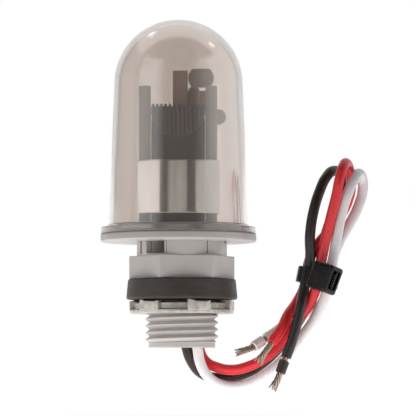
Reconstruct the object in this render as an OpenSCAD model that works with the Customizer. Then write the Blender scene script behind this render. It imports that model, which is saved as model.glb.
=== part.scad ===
// Photocell switch for outdoor lighting, with a threaded stem for a knockout.
// Millimetres. Z is up and the stem's axis is the Z axis. Z = 0 is the plane between the gasket
// and the locknut, where the wall of a box is clamped. The front, with the light shield, faces -Y.

/* [Stem fitting] */
// Outer diameter of the stem's thread
thread_d = 20.8; // [19:0.1:24]
// Depth of the thread
thread_depth = 0.9; // [0.5:0.05:1.2]
// Length of the stem below the hexagon
stem_len = 19.6; // [16:0.1:30]
// Length of the plain end below the thread
plain_end_len = 1.5; // [0.8:0.1:3]
// Diameter of the hole that the leads run through
wire_bore_d = 15; // [12:0.1:16]
// Width of the hexagon across its flats
hex_af = 26.3; // [24:0.1:30]
// Height of the hexagon
hex_h = 6.3; // [4:0.1:10]
// Turn of the hexagon away from the front, in degrees
hex_turn = 5.9; // [0:0.1:30]
// Outer diameter of the neck above the hexagon
neck_d = 25.8; // [23:0.1:26]
// Height of the neck
neck_h = 4.1; // [3:0.1:8]
// Wall of the neck
neck_wall = 1.8; // [1.2:0.1:2.4]

/* [Gasket and locknut] */
// Outer diameter of the gasket at its lower edge
gasket_d = 31.8; // [26:0.1:36]
// Thickness of the gasket
gasket_h = 5.9; // [2:0.1:8]
// How much wider the gasket's lower edge is than its upper edge, on the diameter
gasket_flare = 0.7; // [0:0.1:2]
// Outer diameter of the locknut over its lugs
locknut_d = 30; // [27:0.1:34]
// Thickness of the locknut
locknut_h = 4; // [3:0.1:6]
// Number of lugs
lug_count = 6; // [4:1:10]
// Width of a lug, in degrees
lug_angle = 27; // [15:1:34]
// Depth of the notches between the lugs, in from the rim
lug_depth = 1.4; // [0.8:0.1:1.8]
// Thickness of the locknut's foot ring
foot_ring_h = 1.1; // [0.6:0.1:2]
// Gap between the thread and what slides on it
thread_gap = 0.3; // [0.15:0.05:0.6]

/* [Dome] */
// Diameter of the dome's flange and of the base plate
flange_d = 44.6; // [42:0.1:52]
// Thickness of the dome's flange
flange_h = 1.8; // [1.2:0.1:4]
// Radius of the dome's round top
dome_r = 18.45; // [17.8:0.05:19.6]
// Height of the centre of the round top above the flange
dome_centre_h = 41.3; // [41:0.1:60]
// Draft of the dome's side, in degrees
dome_draft = 2.4; // [1.5:0.1:3]
// Wall of the dome
dome_wall = 1.5; // [1:0.1:2]
// Size of the chamfer between the dome's side and its flange
dome_chamfer = 0.8; // [0.3:0.1:1.2]

/* [Base plate] */
// How far the stem's axis lies to the right of the dome's axis
stem_shift = 1; // [0:0.1:2]
// Thickness of the base plate
plate_h = 2.6; // [2:0.1:5]
// Height of the rim that centres the dome
rim_h = 2; // [1:0.1:4]
// Wall of the rim that centres the dome
rim_wall = 1.2; // [0.8:0.1:2]
// Gap between the rim and the dome
rim_gap = 0.2; // [0.1:0.05:0.4]
// Depth of the hooks that hold the neck
hook_h = 3.6; // [2.5:0.1:4]
// Gap between the hook ring and the neck
hook_gap = 0.2; // [0.1:0.05:0.4]

/* [Posts and shield] */
// Diameter of a post
post_d = 3.2; // [2.4:0.1:4]
// Height of a post above the base plate
post_h = 41.4; // [38:0.1:48]
// Distance of a post from the dome's axis
post_reach = 13.5; // [12.5:0.1:14]
// Angle of a post from the front, in degrees
post_angle = 43; // [38:0.5:48]
// Height of the light shield
shield_h = 15.2; // [10:0.1:22]
// Height of the shield's lower edge above the base plate
shield_lift = 5; // [3:0.1:10]
// Half the angle that the shield covers, in degrees
shield_angle = 47; // [46:0.5:60]
// Thickness of the shield's sheet
shield_t = 0.5; // [0.3:0.05:0.8]

/* [Switch housing] */
// Gap between the housing and a post
housing_gap = 0.1; // [0.05:0.05:0.5]
// Depth of the housing
housing_d = 15; // [14:0.1:17]
// Height of the housing
housing_h = 35.6; // [32:0.1:40]
// Wall of the housing
housing_wall = 1.2; // [0.8:0.1:1.4]
// Place of the housing's front face in front of the dome's axis
housing_front = 9; // [8.6:0.1:9.4]
// Height of the ribbed baffle
baffle_h = 8.7; // [7:0.1:12]
// Thickness of the baffle's plate
baffle_t = 1.2; // [0.8:0.1:1.6]
// Number of ribs on the baffle
rib_count = 13; // [7:1:19]
// Width of a rib
rib_w = 0.7; // [0.4:0.05:0.8]
// How far a rib stands out of the baffle
rib_out = 0.8; // [0.4:0.1:1]
// How far a rib's tip stands above the baffle
rib_tip = 0.6; // [0.3:0.1:1.2]

/* [Cell] */
// Width of the cell's carrier strip
carrier_w = 4.3; // [3:0.1:6]
// Thickness of the carrier strip
carrier_t = 1.6; // [1:0.1:2.4]
// Height of the carrier strip above the housing
carrier_h = 11.3; // [8:0.1:12]
// Diameter of the light-sensing cell
cell_d = 7.4; // [5:0.1:8]
// Width of the cell across its flats
cell_flat = 5.4; // [4:0.1:6]
// Thickness of the cell
cell_t = 2.2; // [1.5:0.1:3]
// Diameter of the sleeve on the cell's wires
sleeve_d = 3.4; // [2.6:0.1:4]
// Diameter of the surge disc
surge_d = 4.4; // [4:0.1:6]
// Thickness of the surge disc
surge_t = 3; // [2:0.1:4]

/* [Switch] */
// Diameter of a terminal pin
pin_d = 1.6; // [1.2:0.1:2]
// Height of a terminal pin above the base plate
pin_h = 5.1; // [3:0.1:8]
// Width of the bimetal blade
blade_w = 5; // [3:0.1:6]
// Thickness of the blades
blade_t = 0.5; // [0.3:0.05:0.8]
// Length of the bimetal blade
blade_len = 18; // [12:0.1:22]
// Diameter of a contact point
rivet_d = 2.6; // [1.6:0.1:3]
// Height of a contact point
rivet_h = 0.8; // [0.4:0.1:1.2]
// Gap between the open contact points
contact_gap = 1; // [0.4:0.1:1.4]
// Diameter of the heater
heater_d = 4.2; // [3:0.1:4.4]
// Length of the heater
heater_len = 14; // [8:0.1:18]

/* [Leads] */
// Diameter of a lead over its insulation
lead_d = 3; // [2.4:0.1:3]
// Diameter of a lead's bare strands
strand_d = 1.9; // [1.2:0.1:2.2]
// Width of the cable tie
tie_w = 4.6; // [3:0.1:6]
// Thickness of the cable tie's strap
tie_t = 1.1; // [0.8:0.1:1.6]
// Side of the cable tie's square head
tie_head = 7.6; // [6:0.1:9]
// Thickness of the cable tie's head
tie_head_t = 5.4; // [4:0.1:6]

/* [Hidden] */
$fn = 96;
eps = 0.02;
far = 200;
// Margin by which a cut passes the faces that it opens
cut = 1;

// Levels, from the clamp plane upwards
stem_end_z = gasket_h - stem_len;
neck_z = gasket_h + hex_h;
plate_z = neck_z + neck_h;
flange_z = plate_z + plate_h;
dome_z = flange_z + flange_h;
dome_centre_z = dome_z + dome_centre_h;
housing_z = flange_z + housing_h;
pin_top_z = flange_z + pin_h;

// Stem
thread_r = thread_d / 2;
root_r = thread_r - thread_depth;
grip_r = thread_r - 0.2;
nut_clear = 0.3;
free_len = stem_len - gasket_h - locknut_h - nut_clear - plain_end_len;
slide_r = thread_r + thread_gap;
neck_r = neck_d / 2;
neck_inner_r = neck_r - neck_wall;
neck_floor_h = 0.3;

// The neck's openings: angle of the left edge and of the right edge from the front
window_angles = [[-53, -23], [67, 97], [187, 217]];
slit_angles = [[-70, -63.5], [-21, -18.5], [33, 35.5], [99.5, 102], [153, 155.5], [219.5, 222]];

// Dome: the conical side touches the round top at the draft angle
touch_r = dome_r * cos(dome_draft);
touch_z = dome_centre_z + dome_r * sin(dome_draft);
function dome_side_r(z) = touch_r + (touch_z - z) * tan(dome_draft);
dome_foot_r = dome_side_r(dome_z);
rim_r = dome_side_r(flange_z + rim_h) - dome_wall - rim_gap;

// Posts stand at the same angle on both sides of the front, seen from the dome's axis
post_x = post_reach * sin(post_angle);
post_y = -post_reach * cos(post_angle);
shield_gap = 0.05;
shield_r = post_reach + post_d / 2 + shield_gap;
housing_w = 2 * (post_x - post_d / 2 - housing_gap);

// Terminals, as places from the stem's axis: line, neutral and load
pin_tail_z = 14;
pin_flange_d = pin_d + 1.4;
pin_clear = 0.2;
line_pin_x = -2;
neutral_pin_x = 1;
load_pin_x = 3.5;
heater_reach = 4.2;
load_pin = [load_pin_x, housing_d - housing_front - housing_wall - pin_flange_d / 2 - pin_clear];
line_pin = [line_pin_x, load_pin[1] - blade_t - 2 * rivet_h - contact_gap];
neutral_pin = [neutral_pin_x, line_pin[1] - heater_reach];
pin_flange_h = 0.8;
pin_hole_gap = 0.1;

// Contacts: the two points lie between the faces of the two blades
blade_face_y = line_pin[1] + blade_t / 2;
contact_face_y = load_pin[1] - blade_t / 2;
rivet_z = pin_top_z + blade_len - rivet_d;

// Cell on top of the housing
carrier_x = -0.5;
cell_gap = 0.1;
cell_left = carrier_x + carrier_w / 2 + cell_gap;
cell_x = cell_left + cell_d / 2;
cell_z = housing_z + carrier_h - cell_flat / 2 + 0.5;
cell_wire_d = 0.6;
cell_wire_x = cell_left + sleeve_d / 2;
cell_wire_gap = 1.2;
cell_front_y = -1;
cell_wire_y = cell_front_y + cell_t / 2;
wire_hole_gap = 0.2;

// Middle of the housing's front edge, and the surge disc at its right side
housing_place = [-stem_shift, -housing_front, flange_z];
surge_gap = 1.7;
surge_wire_d = 0.6;
surge_wire_gap = 1.6;
surge_drop = 0.1;
surge_place = [
  housing_w / 2 - stem_shift + surge_gap + surge_d / 2, -2, housing_z - surge_drop - surge_d / 2
];

// Routes of the leads, each from its terminal pin, down the stem, round the loop, up through
// the tie, over the top and back down through the tie to the cut end
lead_drop = 8;
function last(p) = len(p) - 1;
function lead_start(pin, drop) = [pin[0], pin[1], pin_tail_z - drop];
black_route = [
  lead_start(line_pin, 0), lead_start(line_pin, lead_drop),
  [1.2, -0.9, -13], [2.8, -0.4, -17.6], [6, 1, -21.2],
  [11, 2.3, -22.3], [17.5, 2.6, -21.3], [23, 2.8, -18.2], [27.8, 3, -13.7], [31.9, 3.2, -8.4],
  [35.8, 2.6, -2], [38.2, 1.7, 3], [39.8, 1.7, 11], [41, 5.2, 17.5], [43, 7.8, 23.5],
  [45.4, 9.2, 28.5], [47, 9.6, 33], [46.4, 8.4, 36.2], [43.8, 5.4, 37.6], [41, 2.6, 35.4],
  [38.8, 0.6, 31.4], [36.8, -1.2, 25.5], [35.6, -2, 18.5], [36.6, -1.7, 11.6], [35, -1.7, 3.6],
  [33.8, -4, -2], [32.5, -5.2, -7.5], [31, -6, -12.5], [29.5, -6.4, -16.5]
];
red_route = [
  lead_start(load_pin, 0), lead_start(load_pin, lead_drop),
  [4.8, 1.8, -12.5], [5.5, 1.4, -15.6], [7.2, 0.8, -17.9],
  [9.8, 0, -19.2], [14, -0.6, -20], [19, -0.6, -19], [24.5, -0.4, -16], [29, 0, -11.5],
  [33, -0.2, -6], [36.4, -0.9, -1.2], [38.2, -1.7, 3], [39.8, -1.7, 11], [41.1, -3, 17.5],
  [42.6, -4.4, 24], [44, -5.2, 29.5], [45, -5.4, 34.5], [46, -4, 37.8], [47, -0.8, 39.1],
  [48, 2.4, 37.8], [48.7, 3.8, 34.5], [48, 3.2, 29.5], [45, 2.2, 24], [40.9, 1.3, 19.6],
  [37.7, 1.3, 15.4], [36.6, 1.7, 11.6], [35, 1.7, 3.6], [33, 1.6, -0.5], [30.2, -1, -4.5],
  [28.2, -4, -8.5], [25.5, -5.8, -12.3]
];
white_route = [
  lead_start(neutral_pin, 0), lead_start(neutral_pin, lead_drop),
  [4.4, -3, -13], [5.2, -2.9, -17.8], [7.6, -2.5, -22],
  [11.8, -1.6, -24.6], [17.5, -1, -25], [24, -0.6, -22.4], [29.5, -0.4, -17.6], [34.1, -0.5, -11.5],
  [38.6, -0.9, -4.5], [41.4, -1.7, 2.4], [43, -1.7, 10.4], [44.6, -2.4, 17.5], [46.2, -3.2, 25],
  [48.4, -3.8, 31.6], [50, -2.5, 34.9], [51.3, 0.6, 36.2], [52.6, 3.6, 34.9], [53, 5, 31.6],
  [51.4, 5, 26.6], [48.4, 4, 21.2], [45, 2.6, 16.2], [43, 1.7, 10.4], [41.4, 1.7, 2.4],
  [40, 3.2, -1.2], [36.6, 6, -3.6], [32, 6.6, -5.2], [27.6, 3.4, -8.6], [24, 1.4, -11]
];

// The bare strands go straight on from the cut ends and then spread a little
function beyond(p, share) = p[last(p)] + share * (p[last(p)] - p[last(p) - 1]);
strands_black_route = [
  black_route[last(black_route)], beyond(black_route, 1.1), [26.7, -7.1, -23.6], [25.5, -7.2, -25.6]
];
strands_white_route = [
  white_route[last(white_route)], beyond(white_route, 1), [17.6, -1.4, -14.5], [15.2, -1.6, -15.2]
];
strands_red_route = [
  red_route[last(red_route)], beyond(red_route, 0.6), [22.7, -7.2, -16.3], [21.5, -7.2, -18]
];

// A half-stripped piece of insulation lies on the first stretch of its strands
slug_start = 0.22;
slug_hole_d = strand_d + 0.2;
function slug_ends(route) = [route[0] + slug_start * (route[1] - route[0]), route[1]];

// Cable tie: middle of the bundle, its lean to the right, and the half sizes of the bundle
tie_place = [39, 0, 7];
tie_lean = atan(0.2);
bundle_x = 3.2;
bundle_y = 1.7;
tie_gap = 0.25;
tie_sink = 0.5 * tie_t;
tie_head_turn = 34;
tie_head_x = 1.6;
tie_head_reach = tie_head / 2 * sin(tie_head_turn) + tie_head_t / 2 * cos(tie_head_turn);
tie_front_y = bundle_y + lead_d / 2 + tie_gap + tie_t;

// A ring sector between two angles that are counted from the front, seen from above
module sector(r_in, r_out, from_angle, to_angle, h) {
  rotate([0, 0, from_angle - 90])
    rotate_extrude(angle = to_angle - from_angle)
      translate([r_in, 0])
        square([r_out - r_in, h]);
}

// A plain ring
module ring(r_in, r_out, h) {
  difference() {
    cylinder(r = r_out, h = h);
    translate([0, 0, -cut])
      cylinder(r = r_in, h = h + 2 * cut);
  }
}

// The solid inside of the dome's surface, brought in by an even wall
module dome_body(inset) {
  slant = inset / cos(dome_draft);
  foot_z = dome_z - (inset > 0 ? far / 2 : 0);
  union() {
    translate([0, 0, foot_z])
      cylinder(r1 = dome_side_r(foot_z) - slant, r2 = dome_side_r(touch_z) - slant, h = touch_z - foot_z);
    intersection() {
      translate([0, 0, dome_centre_z])
        sphere(r = dome_r - inset);
      translate([-far / 2, -far / 2, touch_z - inset * sin(dome_draft)])
        cube(far);
    }
  }
}

function unit(v) = v / norm(v);
function along(p, i) = unit(p[min(i + 1, last(p))] - p[max(i - 1, 0)]);
function carried(p, side, i = 0) = i > last(p) ? [] :
  let (t = along(p, i), n = unit(side - (side * t) * t)) concat([n], carried(p, n, i + 1));

// A plain tube swept along a route
module swept(route, d, sides = 8) {
  start = along(route, 0);
  across = carried(route, abs(start[1]) < 0.9 ? [0, 1, 0] : [1, 0, 0]);
  rings = [
    for (i = [0 : last(route)], k = [0 : sides - 1])
      let (t = along(route, i), n = across[i], b = cross(t, n), a = 360 * k / sides)
        route[i] + d / 2 * (cos(a) * n + sin(a) * b)
  ];
  walls = [
    for (i = [0 : last(route) - 1], k = [0 : sides - 1])
      let (k2 = (k + 1) % sides, r0 = i * sides, r1 = (i + 1) * sides)
        each [[r0 + k, r1 + k2, r0 + k2], [r0 + k, r1 + k, r1 + k2]]
  ];
  first_cap = [for (k = [0 : sides - 1]) k];
  last_cap = [for (k = [sides - 1 : -1 : 0]) last(route) * sides + k];
  polyhedron(points = rings, faces = concat(walls, [first_cap, last_cap]));
}

// A round bar between two points, with a hole through it if one is given
module bar(ends, d, hole_d = 0) {
  v = ends[1] - ends[0];
  translate(ends[0])
    rotate([0, acos(v[2] / norm(v)), atan2(v[1], v[0])])
      difference() {
        cylinder(d = d, h = norm(v), $fn = 24);
        if (hole_d > 0)
          translate([0, 0, -cut])
            cylinder(d = hole_d, h = norm(v) + 2 * cut, $fn = 24);
      }
}

module dome_cover() {
  color([0.45, 0.4, 0.37, 0.45])
    translate([-stem_shift, 0, 0])
      difference() {
        union() {
          dome_body(0);
          translate([0, 0, flange_z])
            cylinder(d = flange_d, h = flange_h);
          translate([0, 0, dome_z - eps])
            cylinder(r1 = dome_foot_r + dome_chamfer, r2 = dome_foot_r, h = dome_chamfer);
        }
        intersection() {
          dome_body(dome_wall);
          translate([-far / 2, -far / 2, flange_z - cut])
            cube(far);
        }
      }
}

// One moulding: the plate, the rim inside the dome, the posts and the hook ring inside the neck
module base_plate() {
  color([0.69, 0.68, 0.68])
    difference() {
      union() {
        translate([-stem_shift, 0, 0]) {
          translate([0, 0, plate_z])
            cylinder(d = flange_d, h = plate_h);
          translate([0, 0, flange_z - eps])
            ring(rim_r - rim_wall, rim_r, rim_h);
          for (side = [-1, 1])
            translate([side * post_x, post_y, flange_z - eps])
              cylinder(d = post_d, h = post_h);
        }
        for (opening = [window_angles[1], window_angles[2]])
          translate([0, 0, plate_z - hook_h])
            neck_hook(opening);
      }
      for (place = [line_pin, neutral_pin, load_pin])
        translate([place[0], place[1], plate_z - cut])
          cylinder(d = pin_d + 2 * pin_hole_gap, h = plate_h + 2 * cut, $fn = 32);
    }
}

// A spring hook that catches in one window of the neck
module neck_hook(opening) {
  spread = 2;
  hook_wall = 1.4;
  hook_r = neck_inner_r - hook_gap;
  nose_h = 1.2;
  sector(hook_r - hook_wall, hook_r, opening[0] + spread, opening[1] - spread, hook_h + eps);
  sector(hook_r - eps, hook_r + neck_wall * 0.6, opening[0] + spread, opening[1] - spread, nose_h);
}

// One moulding: the neck with its windows, the hexagon and the threaded stem. The thread is a
// little slimmer where the gasket and the locknut sit on it.
module stem_fitting() {
  color([0.69, 0.69, 0.7])
    difference() {
      union() {
        translate([0, 0, gasket_h])
          rotate([0, 0, hex_turn])
            cylinder(d = hex_af / cos(30), h = hex_h, $fn = 6);
        translate([0, 0, neck_z - eps])
          cylinder(r = neck_r, h = neck_h + eps);
        translate([0, 0, stem_end_z])
          cylinder(r = root_r, h = stem_len + eps);
        translate([0, 0, stem_end_z + plain_end_len])
          cylinder(r = thread_r, h = free_len);
        translate([0, 0, stem_end_z + plain_end_len])
          cylinder(r = grip_r, h = stem_len - plain_end_len + eps);
      }
      translate([0, 0, stem_end_z - cut])
        cylinder(d = wire_bore_d, h = stem_len + hex_h + neck_h + 2 * cut);
      translate([0, 0, neck_z + neck_floor_h])
        cylinder(r = neck_inner_r, h = neck_h);
      for (opening = concat(window_angles, slit_angles))
        translate([0, 0, neck_z + neck_floor_h])
          sector(neck_inner_r - cut, neck_r + cut, opening[0], opening[1], neck_h);
    }
}

module gasket() {
  top_r = (gasket_d - gasket_flare) / 2;
  low_r = gasket_d / 2;
  edge = 0.35;
  color([0.2, 0.19, 0.18])
    rotate_extrude()
      polygon([
        [slide_r, 0], [low_r - edge, 0], [low_r, edge], [top_r, gasket_h - edge],
        [top_r - edge, gasket_h], [slide_r, gasket_h]
      ]);
}

// Zinc locknut: a foot ring, a lower body and lugs that stand up to the gasket
module locknut() {
  rim = locknut_d / 2;
  body_r = rim - lug_depth;
  body_drop = 0.9;
  foot_in = 0.35;
  tooth_wall = 3;
  first_lug = 4.4;
  color([0.72, 0.73, 0.73])
    translate([0, 0, -locknut_h])
      difference() {
        union() {
          cylinder(r = rim - foot_in, h = foot_ring_h);
          cylinder(r = body_r, h = locknut_h - body_drop);
          for (k = [0 : lug_count - 1])
            rotate([0, 0, k * 360 / lug_count])
              sector(rim - tooth_wall, rim, first_lug, first_lug + lug_angle, locknut_h);
        }
        translate([0, 0, -cut])
          cylinder(r = slide_r, h = locknut_h + 2 * cut);
      }
}

module light_shield() {
  color([0.83, 0.83, 0.82])
    translate([-stem_shift, 0, flange_z + shield_lift])
      sector(shield_r, shield_r + shield_t, -shield_angle, shield_angle, shield_h);
}

// Black shell that stands on the base plate, open at its foot
module switch_housing() {
  color([0.13, 0.12, 0.12])
    translate(housing_place)
      difference() {
        translate([-housing_w / 2, 0, 0])
          cube([housing_w, housing_d, housing_h]);
        translate([-housing_w / 2 + housing_wall, housing_wall, -cut])
          cube([housing_w - 2 * housing_wall, housing_d - 2 * housing_wall, housing_h - housing_wall + cut]);
        for (side = [-0.5, 0.5])
          translate([cell_wire_x + side * cell_wire_gap, cell_wire_y, housing_z] - housing_place)
            cylinder(d = cell_wire_d + wire_hole_gap, h = 4 * housing_wall, center = true, $fn = 24);
        translate(surge_place - housing_place)
          surge_wires(surge_wire_d + wire_hole_gap, surge_d + housing_wall);
      }
}

// Half-round plate on the housing's front, with upright ribs whose tips stand up as a comb
module light_baffle() {
  half_w = housing_w / 2;
  round_r = (half_w * half_w + baffle_h * baffle_h) / (2 * baffle_h);
  pitch = housing_w / rib_count;
  color([0.09, 0.085, 0.085])
    translate([-stem_shift, -housing_front, housing_z])
      union() {
        rotate([90, 0, 0])
          linear_extrude(height = baffle_t)
            baffle_outline(round_r, half_w);
        intersection() {
          rotate([90, 0, 0])
            linear_extrude(height = baffle_t + rib_out)
              union() {
                baffle_outline(round_r, half_w);
                translate([-half_w, -eps])
                  square([housing_w, rib_tip + eps]);
              }
          for (k = [0 : rib_count - 1])
            translate([-half_w + (k + 0.5) * pitch - rib_w / 2, -baffle_t - rib_out, -baffle_h])
              cube([rib_w, baffle_t + rib_out, baffle_h + rib_tip]);
        }
      }
}

module baffle_outline(round_r, half_w) {
  intersection() {
    translate([0, round_r - baffle_h])
      circle(r = round_r);
    translate([-half_w, -baffle_h])
      square([2 * half_w, baffle_h]);
  }
}

module cell_carrier() {
  color([0.33, 0.2, 0.13])
    translate([carrier_x - carrier_w / 2, cell_front_y, housing_z])
      cube([carrier_w, carrier_t, carrier_h]);
}

// Round cell with two flats, facing the front, on its two wires
module photo_cell() {
  color([0.3, 0.25, 0.2])
    union() {
      intersection() {
        translate([cell_x, cell_front_y + cell_t, cell_z])
          rotate([90, 0, 0])
            cylinder(d = cell_d, h = cell_t);
        translate([cell_x - cell_d, cell_front_y - cut, cell_z - cell_flat / 2])
          cube([2 * cell_d, cell_t + 2 * cut, cell_flat]);
      }
      for (side = [-0.5, 0.5])
        translate([cell_wire_x + side * cell_wire_gap, cell_wire_y, housing_z - housing_wall])
          cylinder(d = cell_wire_d, h = cell_z - housing_z + housing_wall, $fn = 24);
    }
}

module cell_sleeve() {
  color([0.16, 0.15, 0.15])
    translate([cell_wire_x, cell_wire_y, housing_z])
      difference() {
        cylinder(d = sleeve_d, h = cell_z - cell_flat / 2 - housing_z - cell_gap, $fn = 48);
        for (side = [-0.5, 0.5])
          translate([side * cell_wire_gap, 0, -cut])
            cylinder(d = cell_wire_d + wire_hole_gap, h = far, $fn = 24);
      }
}

// Disc at the housing's right side, with its two wires through the wall
module surge_disc() {
  color([0.28, 0.22, 0.18])
    translate(surge_place)
      union() {
        translate([0, surge_t / 2, 0])
          rotate([90, 0, 0])
            cylinder(d = surge_d, h = surge_t, $fn = 64);
        surge_wires(surge_wire_d, housing_wall + surge_gap + surge_d / 2);
      }
}

// The two wires of the surge disc, from its middle towards the housing
module surge_wires(d, length) {
  for (side = [-0.5, 0.5])
    translate([-length, 0, side * surge_wire_gap])
      rotate([0, 90, 0])
        cylinder(d = d, h = length, $fn = 24);
}

module terminal_pins() {
  color([0.78, 0.68, 0.42])
    for (place = [line_pin, neutral_pin, load_pin])
      translate([place[0], place[1], 0]) {
        translate([0, 0, pin_tail_z])
          cylinder(d = pin_d, h = pin_top_z - pin_tail_z, $fn = 32);
        translate([0, 0, flange_z])
          cylinder(d = pin_flange_d, h = pin_flange_h, $fn = 32);
      }
}

module bimetal_blade() {
  color([0.72, 0.66, 0.52])
    translate([line_pin[0] - blade_w / 2, line_pin[1] - blade_t / 2, pin_top_z])
      cube([blade_w, blade_t, blade_len]);
}

// Fixed blade on the load pin: a foot, and an arm that reaches across behind the bimetal blade
module contact_blade() {
  foot_w = 3;
  arm_h = rivet_d + 2;
  arm_left = line_pin[0] - blade_w / 2;
  arm_right = load_pin[0] + foot_w / 2;
  color([0.76, 0.6, 0.35])
    translate([0, load_pin[1] - blade_t / 2, 0])
      union() {
        translate([load_pin[0] - foot_w / 2, 0, pin_top_z])
          cube([foot_w, blade_t, blade_len]);
        translate([arm_left, 0, rivet_z - arm_h / 2])
          cube([arm_right - arm_left, blade_t, arm_h]);
      }
}

module contact_rivets() {
  color([0.85, 0.85, 0.86])
    for (face_y = [blade_face_y, contact_face_y - rivet_h])
      translate([line_pin[0], face_y + rivet_h, rivet_z])
        rotate([90, 0, 0])
          cylinder(d = rivet_d, h = rivet_h, $fn = 48);
}

// Heater that stands on the neutral pin
module heater_resistor() {
  wire_d = 0.8;
  wire_len = 2;
  color([0.72, 0.62, 0.45])
    translate([neutral_pin[0], neutral_pin[1], pin_top_z])
      union() {
        cylinder(d = wire_d, h = heater_len + 2 * wire_len, $fn = 24);
        translate([0, 0, wire_len])
          cylinder(d = heater_d, h = heater_len, $fn = 64);
      }
}

module lead_black() {
  color([0.11, 0.1, 0.1])
    swept(black_route, lead_d);
}

module lead_white() {
  color([0.92, 0.89, 0.89])
    swept(white_route, lead_d);
}

module lead_red() {
  color([0.86, 0.14, 0.19])
    swept(red_route, lead_d);
}

module slug_black() {
  color([0.11, 0.1, 0.1])
    bar(slug_ends(strands_black_route), lead_d, slug_hole_d);
}

module slug_white() {
  color([0.88, 0.83, 0.84])
    bar(slug_ends(strands_white_route), lead_d, slug_hole_d);
}

module strands_black() {
  color([0.66, 0.62, 0.56])
    swept(strands_black_route, strand_d);
}

module strands_white() {
  color([0.66, 0.6, 0.52])
    swept(strands_white_route, strand_d);
}

module strands_red() {
  color([0.66, 0.62, 0.56])
    swept(strands_red_route, strand_d);
}

// The outline of the bundle with round corners, grown by a margin
module bundle_outline(margin) {
  r = lead_d / 2 + margin;
  union() {
    square([2 * bundle_x, 2 * (bundle_y + r)], center = true);
    square([2 * (bundle_x + r), 2 * bundle_y], center = true);
    for (x = [-bundle_x, bundle_x], y = [-bundle_y, bundle_y])
      translate([x, y])
        circle(r = r);
  }
}

// Strap round the six strands, and the slotted head on its front
module cable_tie() {
  slot_w = tie_w + 0.4;
  slot_t = tie_t + 0.8;
  color([0.1, 0.095, 0.095])
    translate(tie_place)
      rotate([0, tie_lean, 0])
        union() {
          translate([0, 0, -tie_w / 2])
            linear_extrude(height = tie_w)
              difference() {
                bundle_outline(tie_gap + tie_t);
                bundle_outline(tie_gap);
              }
          translate([tie_head_x, tie_sink - tie_front_y - tie_head_reach, 0])
            rotate([0, 0, -tie_head_turn])
              difference() {
                cube([tie_head, tie_head_t, tie_head], center = true);
                cube([far, slot_t, slot_w], center = true);
              }
        }
}

dome_cover();
base_plate();
stem_fitting();
gasket();
locknut();
light_shield();
switch_housing();
light_baffle();
cell_carrier();
photo_cell();
cell_sleeve();
surge_disc();
terminal_pins();
bimetal_blade();
contact_blade();
contact_rivets();
heater_resistor();
lead_black();
lead_white();
lead_red();
slug_black();
slug_white();
strands_black();
strands_white();
strands_red();
cable_tie();
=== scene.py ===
"""Looks of a stem-mount photocell switch: smoked dome, grey base and stem, gasket, locknut and tied leads.

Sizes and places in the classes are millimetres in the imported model's frame, with Z up, the stem on the Z axis
and the front towards -Y. Angles round the stem are degrees from the front, growing to the right.
"""
import logging
import math
from dataclasses import dataclass
from enum import Enum
from functools import cache
from typing import Any, Callable, Optional, Sequence

import bpy
from mathutils import Matrix, Vector


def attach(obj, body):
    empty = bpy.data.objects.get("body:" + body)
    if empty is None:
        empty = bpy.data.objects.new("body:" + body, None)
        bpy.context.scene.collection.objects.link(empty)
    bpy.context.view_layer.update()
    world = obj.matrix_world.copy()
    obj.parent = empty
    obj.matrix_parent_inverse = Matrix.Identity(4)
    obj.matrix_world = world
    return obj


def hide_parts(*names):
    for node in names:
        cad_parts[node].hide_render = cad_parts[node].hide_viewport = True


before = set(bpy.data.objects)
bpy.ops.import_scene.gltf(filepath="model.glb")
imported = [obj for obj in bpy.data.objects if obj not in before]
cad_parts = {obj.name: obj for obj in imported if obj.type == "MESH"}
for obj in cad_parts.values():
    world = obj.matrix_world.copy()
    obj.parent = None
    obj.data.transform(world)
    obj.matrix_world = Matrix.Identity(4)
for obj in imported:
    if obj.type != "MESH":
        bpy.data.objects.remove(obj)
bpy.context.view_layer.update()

LOG = logging.getLogger("photocell_switch")
MM = 0.001
WHITE = (1.0, 1.0, 1.0, 1.0)
Piece = bpy.types.Object
Material = bpy.types.Material
Node = bpy.types.Node
Tree = bpy.types.NodeTree
Pair = tuple[float, float]
Place = tuple[float, float, float]
Box = tuple[Place, Place]
Profile = list[Pair]
Ring = tuple[Pair, ...]


class Body(Enum):
    """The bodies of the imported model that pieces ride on."""

    PHOTOCELL = "photocell"
    GASKET = "gasket"
    LOCKNUT = "locknut"


# Modelling helpers.


def mm(*values: float) -> Vector:
    """Gives a place or size in metres from millimetres."""
    return Vector(values) * MM


def around(angle: float, radius: float, height: float) -> Vector:
    """Gives the point at an angle round the stem, in metres."""
    turn = math.radians(angle)
    return mm(radius * math.sin(turn), -radius * math.cos(turn), height)


def turned(angle: float, axis: str) -> Matrix:
    """Gives the matrix of a turn in degrees about an axis."""
    return Matrix.Rotation(math.radians(angle), 4, axis)


def clear() -> None:
    """Leaves edit mode and deselects everything."""
    if bpy.context.mode != "OBJECT":
        bpy.ops.object.mode_set(mode="OBJECT")
    bpy.ops.object.select_all(action="DESELECT")


def activate(obj: Piece) -> None:
    """Selects one object alone and makes it the active one.

    Args:
        obj: the object.
    """
    clear()
    obj.select_set(True)
    bpy.context.view_layer.objects.active = obj


def edit(obj: Piece) -> None:
    """Opens one object in edit mode with all of it selected.

    Args:
        obj: the object.
    """
    activate(obj)
    bpy.ops.object.mode_set(mode="EDIT")
    bpy.ops.mesh.select_all(action="SELECT")


def named(name: str) -> Piece:
    """Names the object that an operator has just made.

    Args:
        name: its name and its mesh's.

    Returns:
        The object.
    """
    obj = bpy.context.object
    obj.name = obj.data.name = name
    return obj


def link(name: str, data: bpy.types.ID) -> Piece:
    """Adds an object with its data to the scene.

    Args:
        name: the object's name.
        data: its curve, lamp or camera.

    Returns:
        The object.
    """
    obj = bpy.data.objects.new(name, data)
    bpy.context.scene.collection.objects.link(obj)
    return obj


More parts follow.
